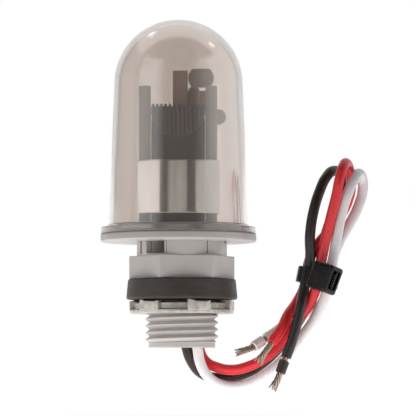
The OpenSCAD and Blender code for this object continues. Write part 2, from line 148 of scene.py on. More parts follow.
def settle() -> None:
    """Applies the active object's place, turn and size to its mesh."""
    bpy.ops.object.transform_apply(location=True, rotation=True, scale=True)


def close_up() -> None:
    """Merges doubles and turns the faces outwards, in edit mode, then leaves it."""
    bpy.ops.mesh.select_all(action="SELECT")
    bpy.ops.mesh.remove_doubles(threshold=1e-6)
    bpy.ops.mesh.normals_make_consistent(inside=False)
    bpy.ops.object.mode_set(mode="OBJECT")


def rounded(corners: Sequence[tuple[float, ...]], closed: bool = False, parts: int = 3) -> Profile:
    """Rounds the corners of a profile.

    Args:
        corners: (radius, height) or (radius, height, rounding) of each corner.
        closed: whether the profile runs back to its first corner.
        parts: how many pieces each rounding is made of.

    Returns:
        The profile's points, the first one repeated at the end where it is closed.
    """
    count = len(corners)
    points: Profile = []
    for index, corner in enumerate(corners):
        here = Vector(corner[:2])
        inner = closed or 0 < index < count - 1
        if len(corner) < 3 or not inner:
            points.append(tuple(here))
            continue
        before = Vector(corners[index - 1][:2]) - here
        after = Vector(corners[(index + 1) % count][:2]) - here
        reach = min(corner[2], 0.49 * before.length, 0.49 * after.length)
        start, end = here + before.normalized() * reach, here + after.normalized() * reach
        for share in (part / parts for part in range(parts + 1)):
            points.append(tuple(start.lerp(here, share).lerp(here.lerp(end, share), share)))
    return points + points[:1] if closed else points


def arc(centre: Pair, radius: float, first: float, last: float, parts: int) -> Profile:
    """Gives the points of an arc in a profile, its angles measured up from the outward direction."""
    turns = [math.radians(first + (last - first) * part / parts) for part in range(parts + 1)]
    return [(centre[0] + radius * math.cos(turn), centre[1] + radius * math.sin(turn)) for turn in turns]


def spin(steps: int, sweep: float, axis_x: float = 0.0) -> None:
    """Spins what is being edited through a turn, moves it to its own axis and closes it.

    Args:
        steps: how many steps the spin has.
        sweep: how far it turns, in degrees.
        axis_x: where the axis stands, along X.
    """
    bpy.ops.mesh.select_all(action="SELECT")
    bpy.ops.mesh.spin(steps=steps, angle=-math.radians(sweep), center=(0, 0, 0), axis=(0, 0, 1))
    bpy.ops.mesh.select_all(action="SELECT")
    bpy.ops.transform.translate(value=mm(axis_x, 0, 0))
    close_up()


def lathe(name: str, profile: Sequence[Pair], axis_x: float = 0.0, steps: int = 112, start: float = 0.0,
          sweep: float = 360.0) -> Piece:
    """Draws a profile by extruding a point and spins it about an upright axis.

    Args:
        name: the new object's name.
        profile: (radius, height) points.
        axis_x: where the axis stands, along X.
        steps: how many steps the spin has.
        start: the angle the spin starts at.
        sweep: how far it turns.

    Returns:
        The new object, with its doubles merged and its faces outwards.
    """
    clear()
    bpy.ops.mesh.primitive_plane_add(size=MM)
    obj = named(name)
    edit(obj)
    bpy.ops.mesh.merge(type="CENTER")
    points = [around(start, radius, height) for radius, height in profile]
    bpy.ops.transform.translate(value=points[0])
    for before, after in zip(points, points[1:]):
        bpy.ops.mesh.extrude_region_move(TRANSFORM_OT_translate={"value": after - before})
    spin(steps, sweep, axis_x)
    return obj


def drill(name: str, radius: float, low: float, high: float, steps: int) -> Piece:
    """Lathes a round cutter on the stem's axis that passes two heights by 1 mm."""
    return lathe(name, [(0.0, low - 1), (radius, low - 1), (radius, high + 1), (0.0, high + 1)], steps=steps)


def sector(name: str, radii: Pair, angles: Pair, heights: Pair, steps: int = 8, bevel: float = 0.0) -> Piece:
    """Spins an upright rectangle through part of a turn into a solid piece of a ring.

    Args:
        name: the new object's name.
        radii: inner and outer radius.
        angles: first and last angle round the stem.
        heights: lower and upper height.
        steps: how many steps the spin has.
        bevel: how much its sharp edges are bevelled.

    Returns:
        The new object.
    """
    clear()
    bpy.ops.mesh.primitive_plane_add(size=1)
    obj = named(name)
    corners = [(radius, height) for height in heights for radius in radii]
    for vertex, (radius, height) in zip(obj.data.vertices, corners):
        vertex.co = around(angles[0], radius, height)
    edit(obj)
    spin(steps, angles[1] - angles[0])
    if bevel:
        soften(obj, bevel, 2, 40)
    return obj


def block(name: str, low: Place, high: Place, bevel: float = 0.0, parts: int = 2) -> Piece:
    """Makes a box between two corners and bevels all its edges.

    Args:
        name: the new object's name.
        low: its lowest corner.
        high: its highest corner.
        bevel: how much its edges are bevelled.
        parts: how many pieces each bevel has.

    Returns:
        The new object.
    """
    clear()
    first, last = mm(*low), mm(*high)
    bpy.ops.mesh.primitive_cube_add(size=1, location=(first + last) / 2, scale=last - first)
    obj = named(name)
    settle()
    if bevel:
        edit(obj)
        bpy.ops.mesh.bevel(offset=bevel * MM, segments=parts, affect="EDGES", profile=0.6)
        close_up()
    return obj


def draw_curve(name: str, diameter: float, sides: int) -> bpy.types.Curve:
    """Makes an empty curve as thick as a wire.

    Args:
        name: the curve's name.
        diameter: the wire's diameter.
        sides: how round it is, as a bevel resolution.

    Returns:
        The curve.
    """
    curve = bpy.data.curves.new(name, "CURVE")
    curve.dimensions = "3D"
    curve.bevel_depth = diameter * MM / 2
    curve.bevel_resolution = sides
    curve.use_fill_caps = True
    return curve


def rods(name: str, lines: Sequence[Sequence[Vector]], diameter: float) -> Piece:
    """Makes round wires along lines, as one mesh.

    Args:
        name: the new object's name.
        lines: the points of each wire, in metres.
        diameter: the wires' diameter.

    Returns:
        The new object.
    """
    clear()
    curve = draw_curve(name, diameter, 2)
    for line in lines:
        spline = curve.splines.new("POLY")
        spline.points.add(len(line) - 1)
        for point, place in zip(spline.points, line):
            point.co = (*place, 1.0)
    activate(link(name, curve))
    bpy.ops.object.convert(target="MESH")
    obj = named(name)
    edit(obj)
    close_up()
    return obj


def modify(obj: Piece, kind: str, **settings: Any) -> None:
    """Adds a modifier with its settings and applies it.

    Args:
        obj: the piece.
        kind: the modifier's type.
        settings: its settings by name.
    """
    activate(obj)
    modifier = obj.modifiers.new(kind, kind)
    for key, value in settings.items():
        setattr(modifier, key, value)
    bpy.ops.object.modifier_apply(modifier=modifier.name)


def soften(obj: Piece, width: float, parts: int, angle: float) -> None:
    """Bevels the edges of a piece that are sharper than an angle in degrees."""
    modify(obj, "BEVEL", width=width * MM, segments=parts, limit_method="ANGLE",
           angle_limit=math.radians(angle))


def cut(obj: Piece, others: Sequence[Piece]) -> None:
    """Takes other pieces out of a piece and deletes them.

    Args:
        obj: the piece.
        others: the cutters.
    """
    for other in others:
        modify(obj, "BOOLEAN", object=other, operation="DIFFERENCE", solver="EXACT")
        bpy.data.objects.remove(other)


def gather(obj: Piece, others: Sequence[Piece]) -> None:
    """Joins other objects to one as loose parts of its mesh.

    Args:
        obj: the object that stays.
        others: the objects that join it.
    """
    activate(obj)
    for other in others:
        other.select_set(True)
    bpy.ops.object.join()


def set_in(obj: Piece, place: Sequence[float], turn: Matrix = Matrix.Identity(4)) -> None:
    """Turns a piece, moves it to a place and applies that to its mesh.

    Args:
        obj: the piece.
        place: where its origin goes.
        turn: how it is turned before that.
    """
    activate(obj)
    obj.matrix_world = Matrix.Translation(mm(*place)) @ turn
    settle()


def press(obj: Piece, rule: Callable[[Vector], Vector]) -> None:
    """Moves each vertex of a piece to where a rule puts it.

    Args:
        obj: the piece.
        rule: gives a vertex's new place from its old one, in millimetres.
    """
    for vertex in obj.data.vertices:
        vertex.co = rule(vertex.co / MM) * MM
    obj.data.update()


def dress(obj: Piece, material: Material) -> None:
    """Gives an object one material in place of what it has."""
    obj.data.materials.clear()
    obj.data.materials.append(material)


def hand_over(obj: Piece, material: Material, node: str, body: Body = Body.PHOTOCELL,
              angle: float = 35.0) -> Piece:
    """Shades a finished mesh, dresses it and puts it on its body.

    Args:
        obj: the finished piece.
        material: its finish.
        node: the CAD node it stands for.
        body: the body it rides on.
        angle: edges sharper than this many degrees stay sharp.

    Returns:
        The same piece.
    """
    activate(obj)
    bpy.ops.object.shade_smooth_by_angle(angle=math.radians(angle))
    modify(obj, "WEIGHTED_NORMAL", keep_sharp=True)
    dress(obj, material)
    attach(obj, body.value)
    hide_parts(node)
    LOG.info("%s: %d faces on %s", obj.name, len(obj.data.polygons), body.value)
    return obj


# Finishes.


def srgb(code: str) -> tuple[float, float, float, float]:
    """Turns an sRGB hex colour into linear values.

    Args:
        code: the colour as six hex digits.

    Returns:
        Its linear red, green and blue, and full alpha.
    """
    levels = [int(code[place:place + 2], 16) / 255 for place in (0, 2, 4)]
    linear = [level / 12.92 if level <= 0.04045 else ((level + 0.055) / 1.055) ** 2.4 for level in levels]
    return (*linear, 1.0)


def add_node(tree: Tree, kind: str, values: Optional[dict] = None) -> Node:
    """Adds a shader node.

    Args:
        tree: the node tree it goes into.
        kind: the node's type name after "ShaderNode".
        values: its properties and inputs by name or number. A socket is linked, and so is a node, by its
            first output.

    Returns:
        The new node.
    """
    node = tree.nodes.new("ShaderNode" + kind)
    for key, value in (values or {}).items():
        source = value.outputs[0] if isinstance(value, Node) else value
        if isinstance(source, bpy.types.NodeSocket):
            tree.links.new(source, node.inputs[key])
        elif isinstance(key, str) and hasattr(node, key):
            setattr(node, key, source)
        else:
            node.inputs[key].default_value = source
    return node


def fresh_tree(name: str) -> tuple[Material, Tree]:
    """Makes a material with an empty node tree.

    Args:
        name: the material's name.

    Returns:
        The material and its tree.
    """
    material = bpy.data.materials.new(name)
    material.use_nodes = True
    material.node_tree.nodes.clear()
    return material, material.node_tree


@dataclass(frozen=True)
class Finish:
    """An opaque finish: a mottled colour, gloss that varies with it and a fine bump.

    Args:
        name: the real substance.
        colour: its main colour.
        shade: the colour its mottling goes to.
        grain_mm: the size of the mottling.
        roughness: least and most roughness over the mottling.
        bump_mm: the size of the bumps on its surface.
        bump: how strongly they show.
        metallic: 1 for bare metal.
        stretch: how the pattern is scaled along X, Y and Z.
        specular: the shader's specular level.
        coat: how much of a clear gloss lies over it.
        coat_rough: the roughness of that gloss.
    """

    name: str
    colour: str
    shade: str
    grain_mm: float
    roughness: Pair
    bump_mm: float
    bump: float
    metallic: float = 0.0
    stretch: Place = (1.0, 1.0, 1.0)
    specular: float = 0.5
    coat: float = 0.0
    coat_rough: float = 0.15

    @cache
    def build(self) -> Material:
        """Builds the material, once for all the pieces that share it.

        Returns:
            The finished material.
        """
        material, tree = fresh_tree(self.name)
        place = add_node(tree, "TexCoord")
        pattern = add_node(tree, "Mapping", {"Scale": self.stretch, "Vector": place.outputs["Object"]})
        mottle, grit = (add_node(tree, "TexNoise", {"Scale": 1 / (size * MM), "Detail": detail,
                                                    "Vector": pattern})
                        for size, detail in ((self.grain_mm, 4.0), (self.bump_mm, 2.0)))
        colour = add_node(tree, "Mix", {"data_type": "RGBA", 0: mottle, 6: srgb(self.colour),
                                        7: srgb(self.shade)})
        gloss = add_node(tree, "MapRange", {"Value": mottle, "From Min": 0.3, "From Max": 0.7,
                                            "To Min": self.roughness[0], "To Max": self.roughness[1]})
        relief = add_node(tree, "Bump", {"Strength": self.bump, "Distance": 0.1 * self.bump_mm * MM,
                                         "Height": grit})
        shader = add_node(tree, "BsdfPrincipled", {
            "Base Color": colour.outputs[2], "Roughness": gloss, "Metallic": self.metallic,
            "Specular IOR Level": self.specular, "Coat Weight": self.coat, "Coat Roughness": self.coat_rough,
            "Normal": relief})
        add_node(tree, "OutputMaterial", {"Surface": shader})
        return material


@dataclass(frozen=True)
class SmokedGlaze:
    """Clear smoked polycarbonate, moulded smooth: a brown-grey tint, sharp gloss and a faint flow pattern.

    Args:
        name: the real substance.
        tint: what one wall lets through.
        thick: what its flange lets through, which is seen through its edge.
        per_face: what one face lets through to lamps.
        flange: the heights between which the wall passes into the flange.
        flow_mm: the size of the faint moulding flow in its gloss.
        gloss: least and most roughness over that flow.
        frost: how rough the flange is, which the mould leaves matt.
        clear: how much of the light the wall and the flange let through, the rest being haze.
        index: its index of refraction.
        skin: the roughness of the wall's outermost gloss.
    """

    name: str
    tint: str
    thick: str
    per_face: str
    flange: Pair
    flow_mm: float
    gloss: Pair = (0.03, 0.07)
    frost: float = 0.3
    clear: Pair = (0.905, 0.84)
    index: float = 1.58
    skin: float = 0.03

    @cache
    def build(self) -> Material:
        """Builds the material, in which light reaches what stands inside the dome.

        Returns:
            The finished material.
        """
        material, tree = fresh_tree(self.name)
        place = add_node(tree, "TexCoord").outputs["Object"]
        flow = add_node(tree, "TexNoise", {"Scale": 1 / (self.flow_mm * MM), "Detail": 2.0, "Vector": place})
        gloss = add_node(tree, "MapRange", {"Value": flow, "To Min": self.gloss[0], "To Max": self.gloss[1]})
        parts = add_node(tree, "SeparateXYZ", {0: place})
        depth = add_node(tree, "MapRange", {"Value": parts.outputs["Z"], "From Min": self.flange[0] * MM,
                                            "From Max": self.flange[1] * MM})
        tint = add_node(tree, "Mix", {"data_type": "RGBA", 0: depth, 6: srgb(self.tint), 7: srgb(self.thick)})
        rough = add_node(tree, "Mix", {0: depth, 2: gloss, 3: self.frost})
        passed = add_node(tree, "MapRange", {"Value": depth, "To Min": self.clear[0],
                                             "To Max": self.clear[1]})
        skin = add_node(tree, "MapRange", {"Value": depth, "To Min": self.skin, "To Max": self.frost})
        wall = add_node(tree, "BsdfPrincipled", {
            "Base Color": tint.outputs[2], "Roughness": rough, "Transmission Weight": passed,
            "IOR": self.index, "Coat Weight": 1.0, "Coat Roughness": skin})
        let_through = add_node(tree, "BsdfTransparent", {"Color": srgb(self.per_face)})
        rays = add_node(tree, "LightPath")
        whole = add_node(tree, "MixShader", {0: rays.outputs["Is Shadow Ray"], 1: wall, 2: let_through})
        add_node(tree, "OutputMaterial", {"Surface": whole})
        return material


# Polycarbonate smoked brown-grey: the inside shows darker and warmer through it.
SMOKED_DOME = SmokedGlaze("smoked_polycarbonate", "EAE1DB", "BAAA9F", "E6DED8", (20.9, 18.9), 14.0)
# Grey ABS, moulded with a fine satin grain: soft broad highlights, faint warm mottling.
GREY_ABS = Finish("grey_abs", "BFB9B5", "B5AFAB", 5.0, (0.36, 0.46), 0.35, 0.18)
# Neoprene, moulded: brown-black, dull, with dusty lighter patches.
NEOPRENE = Finish("neoprene_rubber", "27221F", "4E443E", 1.7, (0.42, 0.6), 0.4, 0.35, stretch=(0.5, 0.5, 1.6),
                  specular=0.4)
# Zinc, die cast and tumbled: pale warm grey metal with a soft mottled sheen.
DIE_CAST_ZINC = Finish("die_cast_zinc", "EAE3DA", "8E877E", 1.6, (0.28, 0.5), 0.5, 0.7, metallic=0.45)
# Aluminium sheet, rolled and bright: mirror-like bands with fine upright rolling lines.
ROLLED_ALUMINIUM = Finish("rolled_aluminium", "EEEEEE", "D6D6D6", 0.9, (0.08, 0.16), 0.5, 0.12, metallic=1.0,
                          stretch=(1.0, 1.0, 0.06))
# Black phenolic, moulded: the switch body's plain black, with a slight gloss.
BLACK_PHENOLIC = Finish("black_phenolic", "3E3835", "302B29", 2.5, (0.3, 0.42), 0.4, 0.2)
# The same for the baffle: charcoal, its colour partly its own and partly a painted veil of light, lighter than
# the switch body's black, so that it looks brown-grey behind the dome.
PAINTED_VEIL_PHENOLIC = Finish("dusty_phenolic", "6C6561", "5A5451", 2.5, (0.3, 0.42), 0.4, 0.2)
# Paper-base board for the cell: flat brown with a faint weave of fibres.
BROWN_BOARD = Finish("paper_phenolic_board", "C2AA9A", "AE9688", 0.8, (0.55, 0.7), 0.3, 0.3,
                     stretch=(1.0, 1.0, 0.3))
# Epoxy-dipped light cell: warm grey and glossy, which looks darker behind the dome.
CELL_EPOXY = Finish("dipped_epoxy_grey", "B2AAA2", "9E968E", 2.0, (0.2, 0.35), 0.8, 0.2, coat=0.3)
# Shrink sleeve on the cell's wires: dull brown.
SLEEVE_POLYOLEFIN = Finish("shrink_polyolefin", "A49284", "948274", 1.2, (0.5, 0.62), 0.3, 0.2)
# Surge absorber dipped in pale epoxy: rounded and glossy.
SURGE_EPOXY = Finish("dipped_epoxy_pale", "D8CEC6", "C4BAB2", 1.5, (0.25, 0.4), 0.6, 0.25, coat=0.3)
# Brass strip and pin: warm yellow metal with drawn lines along it.
DRAWN_BRASS = Finish("drawn_brass", "C9A558", "A98740", 0.8, (0.22, 0.34), 0.3, 0.2, metallic=1.0,
                     stretch=(1.0, 1.0, 0.1))
# Bimetal strip: grey-straw metal, rolled.
ROLLED_BIMETAL = Finish("rolled_bimetal", "B0A894", "958D7B", 0.8, (0.25, 0.38), 0.3, 0.2, metallic=1.0,
                        stretch=(1.0, 1.0, 0.1))
# Silver contact point: white metal, faintly tarnished.
CONTACT_SILVER = Finish("contact_silver", "DAD8D2", "B8B2A4", 0.6, (0.18, 0.3), 0.3, 0.15, metallic=1.0)
# Cement-coated heater resistor: pale stone with a gritty skin.
HEATER_CEMENT = Finish("cement_coating", "B7AE9F", "988F82", 0.5, (0.7, 0.85), 0.25, 0.6)
# PVC insulation on the leads, extruded: smooth satin with slow streaks along it.
BLACK_PVC = Finish("pvc_insulation_black", "2B2422", "3A312E", 2.0, (0.26, 0.36), 0.6, 0.12, specular=0.45)
WHITE_PVC = Finish("pvc_insulation_white", "F0E8E8", "E5DBDC", 2.0, (0.3, 0.4), 0.6, 0.12)
RED_PVC = Finish("pvc_insulation_red", "EC343A", "DE2A32", 2.0, (0.26, 0.36), 0.6, 0.12)
# Tinned copper strands: silver with a straw tinge where the tin is thin.
TINNED_COPPER = Finish("tinned_copper", "E3D6C8", "A98F78", 0.5, (0.2, 0.36), 0.2, 0.15, metallic=1.0)
# Nylon cable tie: black, smooth and fairly glossy.
BLACK_NYLON = Finish("black_nylon", "110F0E", "1B1817", 1.5, (0.2, 0.3), 0.5, 0.15, specular=0.3)
# White painted table: plain and matt, and grey in the room beyond its glow.
TABLE_WHITE, TABLE_SHADE, TABLE_BEYOND = "F4F4F4", "F0F0F0", "606060"


# Camera, light and floor.


@dataclass
class Studio:
    """The camera at the photograph's angle, a white floor and a soft surround of light.

    Args:
        eye: where the camera stands.
        tilt: how far it looks up, in degrees.
        field: its angle of view in degrees.
        floor: the floor's height.
        low_ring: the surround's brightness near the table's level, as (angle from the front, brightness).
        high_ring: the same above that, up to the tops of the two soft boxes.
        sides: how far round the cool soft boxes reach from the front.
        seam: the upward share of the directions between which the low ring passes into the high one.
        top: the same for the high ring and the ceiling.
        ceiling: the ceiling's level in front and behind.
        crown: the height of the dome's shoulder, where the two small lamps show.
        spots: the directions of the two small lamps from there, above and behind.
        lamp: their size, power and distance, in metres and watts.
        glow: the distances in metres between which the table's glow fades.
        fade: the distances in metres between which the table passes into the white backdrop.
        paleness: the share of white in what is seen of the table, near and far.
        levels: the strengths of the table's glow and of the white backdrop.
        paint: the size of the faint mottling of the table's paint.
    """

    eye: Place = (7.46, -740.0, -20.0)
    tilt: float = 3.580
    field: float = 9.192
    floor: float = -34.0
    low_ring: Ring = ((-180, 1.1), (-96, 1.1), (-92, 2.15), (-40, 2.15), (-37, 0.02), (-22, 0.02),
                      (-19, 0.95), (16, 0.95), (19, 0.02), (35, 0.02), (38, 1.2), (92, 1.2), (96, 1.4),
                      (180, 1.1))
    high_ring: Ring = ((-180, 0.8), (-140, 0.8), (-136, 0.4), (-88, 0.4), (-85, 0.2), (-77, 0.2), (-72, 0.88),
                       (-40, 0.88), (-24, 0.02), (28, 0.02), (70, 1.0), (80, 1.05), (100, 1.05), (126, 0.95),
                       (129, 0.7), (136, 0.7), (140, 0.8), (180, 0.8))
    sides: float = 128.0
    seam: Pair = (0.088, 0.1)
    top: Pair = (0.58, 0.68)
    ceiling: Pair = (0.03, 0.46)
    crown: float = 75.0
    spots: tuple[Place, ...] = ((-0.42, 0.46, 0.80), (0.63, 0.19, 0.755))
    lamp: Place = (0.075, 0.036, 0.6)
    glow: Pair = (0.1, 0.17)
    fade: Pair = (0.06, 0.16)
    paleness: Pair = (0.75, 1.0)
    levels: Pair = (1.5, 1.1)
    paint: float = 40.0

    def place_camera(self) -> None:
        """Makes the scene's camera."""
        data = bpy.data.cameras.new("camera")
        data.angle = math.radians(self.field)
        data.clip_start = 10 * MM
        camera = link("camera", data)
        camera.location = mm(*self.eye)
        camera.rotation_euler = (math.radians(90 + self.tilt), 0.0, 0.0)
        bpy.context.scene.camera = camera

    def light_world(self) -> None:
        """Makes the surround: white where it is seen directly, bright banks and dark gaps in reflections."""
        world = bpy.data.worlds.new("studio")
        bpy.context.scene.world = world
        world.use_nodes = True
        tree = world.node_tree
        tree.nodes.clear()
        place = add_node(tree, "TexCoord")
        x, y, z = add_node(tree, "SeparateXYZ", {0: place.outputs["Generated"]}).outputs
        ahead = add_node(tree, "Math", {"operation": "MULTIPLY", 0: y, 1: -1.0})
        turn = add_node(tree, "Math", {"operation": "ARCTAN2", 0: x, 1: ahead})
        share = add_node(tree, "MapRange", {"Value": turn, "From Min": -math.pi, "From Max": math.pi})
        low, high = (self.ring(tree, share, levels) for levels in (self.low_ring, self.high_ring))
        lift, over = (add_node(tree, "MapRange", {"Value": z, "From Min": first, "From Max": last})
                      for first, last in (self.seam, self.top))
        walls = add_node(tree, "Mix", {"data_type": "RGBA", 0: lift, 6: low, 7: high})
        ceiling = add_node(tree, "MapRange", {"Value": y, "From Min": -0.1, "From Max": 0.04,
                                              "To Min": self.ceiling[0], "To Max": self.ceiling[1]})
        bank = add_node(tree, "Mix", {"data_type": "RGBA", 0: over, 6: walls.outputs[2], 7: ceiling})
        lamps = add_node(tree, "Background", {"Strength": 2.0, "Color": bank.outputs[2]})
        white = add_node(tree, "Background", {"Strength": 1.0, "Color": WHITE})
        rays = add_node(tree, "LightPath").outputs
        bounced = add_node(tree, "Math", {"operation": "ADD", 0: rays["Glossy Depth"],
                                          1: rays["Diffuse Depth"]})
        unbounced = add_node(tree, "Math", {"operation": "LESS_THAN", 0: bounced, 1: 0.5})
        seen = add_node(tree, "Math", {"operation": "MAXIMUM", 0: rays["Is Camera Ray"],
                                       1: rays["Is Transmission Ray"]})
        straight = add_node(tree, "Math", {"operation": "MULTIPLY", 0: unbounced, 1: seen})
        whole = add_node(tree, "MixShader", {0: straight, 1: lamps, 2: white})
        add_node(tree, "OutputWorld", {"Surface": whole})

    def ring(self, tree: Tree, share: Node, levels: Ring) -> Node:
        """Makes a colour ramp of a ring's cool brightness, at half its level so that it stays near 1.

        Args:
            tree: the world's node tree.
            share: the node that gives the angle as a share of the turn.
            levels: the ring's brightness by angle.

        Returns:
            The ramp's node.
        """
        ramp = add_node(tree, "ValToRGB", {"Fac": share})
        stops = ramp.color_ramp.elements
        for index, (angle, level) in enumerate(levels):
            stop = stops[index] if index < 2 else stops.new((angle + 180) / 360)
            stop.position = (angle + 180) / 360
            cool = 0.03 if abs(angle) < self.sides else 0.0
            stop.color = (level * (0.5 - cool), level * 0.5, level * (0.5 + cool / 3), 1.0)
        return ramp

    def hang_spots(self) -> None:
        """Hangs the two small lamps that glint on the dome's top."""
        size, power, reach = self.lamp
        for number, direction in enumerate(self.spots):
            data = bpy.data.lights.new(f"spot_{number}", "AREA")
            data.size = size
            data.energy = power
            lamp = link(data.name, data)
            lamp.location = Vector(direction) * reach + mm(0, -10, self.crown)
            lamp.rotation_euler = Vector(direction).to_track_quat("Z", "Y").to_euler()

    def lay_floor(self) -> None:
        """Makes the white floor, a light table that glows softly under the object and keeps its shadow."""
        clear()
        bpy.ops.mesh.primitive_plane_add(size=4.0, location=mm(0, 0, self.floor))
        floor = named("floor")
        settle()
        material, tree = fresh_tree("matt_white_table")
        place = add_node(tree, "TexCoord").outputs["Object"]
        paint = add_node(tree, "TexNoise", {"Scale": 1 / (self.paint * MM), "Vector": place})
        colour = add_node(tree, "Mix", {"data_type": "RGBA", 0: paint, 6: srgb(TABLE_WHITE),
                                        7: srgb(TABLE_SHADE)})
        matt = add_node(tree, "BsdfDiffuse", {"Color": colour.outputs[2]})
        room = add_node(tree, "BsdfDiffuse", {"Color": srgb(TABLE_BEYOND)})
        under, white = (add_node(tree, "Emission", {"Color": WHITE, "Strength": level})
                        for level in self.levels)
        reach = add_node(tree, "VectorMath", {"operation": "LENGTH", 0: place}).outputs["Value"]
        near, pale = (add_node(tree, "MapRange", {"Value": reach, "From Min": start, "From Max": end,
                                                  "To Min": first, "To Max": last})
                      for (start, end), (first, last) in ((self.glow, (1.0, 0.0)),
                                                          (self.fade, self.paleness)))
        lit = add_node(tree, "AddShader", {0: matt, 1: under})
        table = add_node(tree, "MixShader", {0: near, 1: room, 2: lit})
        backdrop = add_node(tree, "MixShader", {0: pale, 1: matt, 2: white})
        rays = add_node(tree, "LightPath").outputs
        looked_at = add_node(tree, "Math", {"operation": "MAXIMUM", 0: rays["Is Camera Ray"],
                                            1: rays["Is Transmission Ray"]})
        seen = add_node(tree, "Math", {"operation": "MAXIMUM", 0: looked_at, 1: rays["Is Glossy Ray"]})
        whole = add_node(tree, "MixShader", {0: seen, 1: table, 2: backdrop})
        add_node(tree, "OutputMaterial", {"Surface": whole})
        dress(floor, material)


# Leads.


@dataclass(frozen=True)
class Lead:
    """One insulated lead from its terminal pin to its bared end.

    Args:
        colour: the insulation's colour, which names its pieces.
        finish: its insulation's finish.
        route: the points of its centre line.
        strands: the points of its bare strands.
        frayed: how far the strands' end spreads, as a share of the bundle, across and through.
        slugged: whether a half-stripped slug of insulation sits on the strands.
        diameter: the insulation's diameter.
        bundle: the diameter of the twisted strands.
        wire: the diameter of one strand.
        twist: how far the strands twist over their length, in degrees.
        fray_from: the share of their length at which they start to spread.
        mouth: the height of the stem's mouth, where the lead leaves the object; not used.
    """

    colour: str
    finish: Finish
    route: tuple[Place, ...]
    strands: tuple[Place, ...]
    frayed: Pair = (1.0, 1.0)
    slugged: bool = False
    diameter: float = 3.0
    bundle: float = 1.9
    wire: float = 0.46
    twist: float = 420.0
    fray_from: float = 0.45
    mouth: float = -13.7

    def build(self, extras: Sequence[Piece]) -> None:
        """Args:
            extras: further pieces that sit on this lead; not used.
        """
        name = f"insulated_lead_{self.colour}"
        curve = draw_curve(name, self.diameter, 6)
        curve.resolution_u = 10
        spline = curve.splines.new("BEZIER")
        spline.bezier_points.add(len(self.route) - 1)
        for point, place in zip(spline.bezier_points, self.route):
            point.co = mm(*place)
            point.handle_left_type = point.handle_right_type = "AUTO"
        lead = link(name, curve)
        dress(lead, self.finish.build())
        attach(lead, Body.PHOTOCELL.value)
        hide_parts(f"lead_{self.colour}")
        pieces = [self.twist_strands(), *extras]
        if self.slugged:
            pieces.append(self.thread_slug())
        LOG.info("%s: %.0f mm long", name, self.length() / MM)

    def length(self) -> float:
        """Gives the route's length in metres."""
        return sum((Vector(b) - Vector(a)).length for a, b in zip(self.route, self.route[1:])) * MM

    def along(self, count: int) -> list[Vector]:
        """Gives evenly spread points on a smooth line through the strands' points.

        Args:
            count: how many points.

        Returns:
            The points in millimetres.
        """
        knots = [Vector(place) for place in self.strands]
        knots = [2 * knots[0] - knots[1], *knots, 2 * knots[-1] - knots[-2]]
        points = []
        for index in range(count):
            whole = index / (count - 1) * (len(knots) - 3)
            cell = min(int(whole), len(knots) - 4)
            share = whole - cell
            a, b, c, d = knots[cell:cell + 4]
            points.append(0.5 * (2 * b + (c - a) * share + (2 * a - 5 * b + 4 * c - d) * share ** 2
                                 + (3 * b - a - 3 * c + d) * share ** 3))
        return points

    def twist_strands(self) -> Piece:
        """Twists eight wires into the bare bundle, which spreads where it is frayed.

        Returns:
            The bundle.
        """
        centre = self.along(22)
        last = len(centre) - 1
        lines: list[list[Vector]] = []
        for radius, count, first in ((0.0, 1, 0.0), (self.bundle / 2 - self.wire / 2, 7, 15.0)):
            for number in range(count):
                line = []
                for index, point in enumerate(centre):
                    run = (centre[min(index + 1, last)] - centre[max(index - 1, 0)]).normalized()
                    side = run.cross(Vector((0, 1, 0))).normalized()
                    back = side.cross(run)
                    share = index / last
                    spread = max(0.0, (share - self.fray_from) / (1 - self.fray_from)) ** 1.5
                    twist = self.twist * share * (1 - 0.3 * spread)
                    turn = math.radians(first + 360 * number / count + twist)
                    wide, deep = (radius * (1 + (fray - 1) * spread) for fray in self.frayed)
                    loose = 0.12 * spread * math.sin(7 * number + 3 * radius)
                    line.append((point + side * (wide * math.cos(turn) + loose)
                                 + back * (deep * math.sin(turn) + loose)) * MM)
                shorter = (number * 5 + int(radius * 10)) % 4
                lines.append(line[:len(line) - shorter])
        piece = rods(f"bare_strands_{self.colour}", lines, self.wire)
        return hand_over(piece, TINNED_COPPER.build(), f"strands_{self.colour}", angle=60)

    def thread_slug(self) -> Piece:
        """Lathes the half-stripped slug of insulation, with fine ridges, and puts it on the strands.

        Returns:
            The slug.
        """
        first, second = Vector(self.strands[0]), Vector(self.strands[1])
        start, length = first.lerp(second, 0.22), 0.78 * (second - first).length
        outer, hole = self.diameter / 2, self.bundle / 2 + 0.1
        ridges = [(outer - (0.07 if step % 2 else 0.0), length * (0.06 + 0.88 * step / 14))
                  for step in range(15)]
        profile = [(hole, 0.0), (outer - 0.18, 0.0), *ridges, (outer - 0.18, length), (hole, length),
                   (hole, 0.0)]
        slug = lathe(f"stripped_slug_{self.colour}", profile, steps=40)
        set_in(slug, start, (second - first).to_track_quat("Z", "Y").to_matrix().to_4x4())
        return hand_over(slug, self.finish.build(), f"slug_{self.colour}")


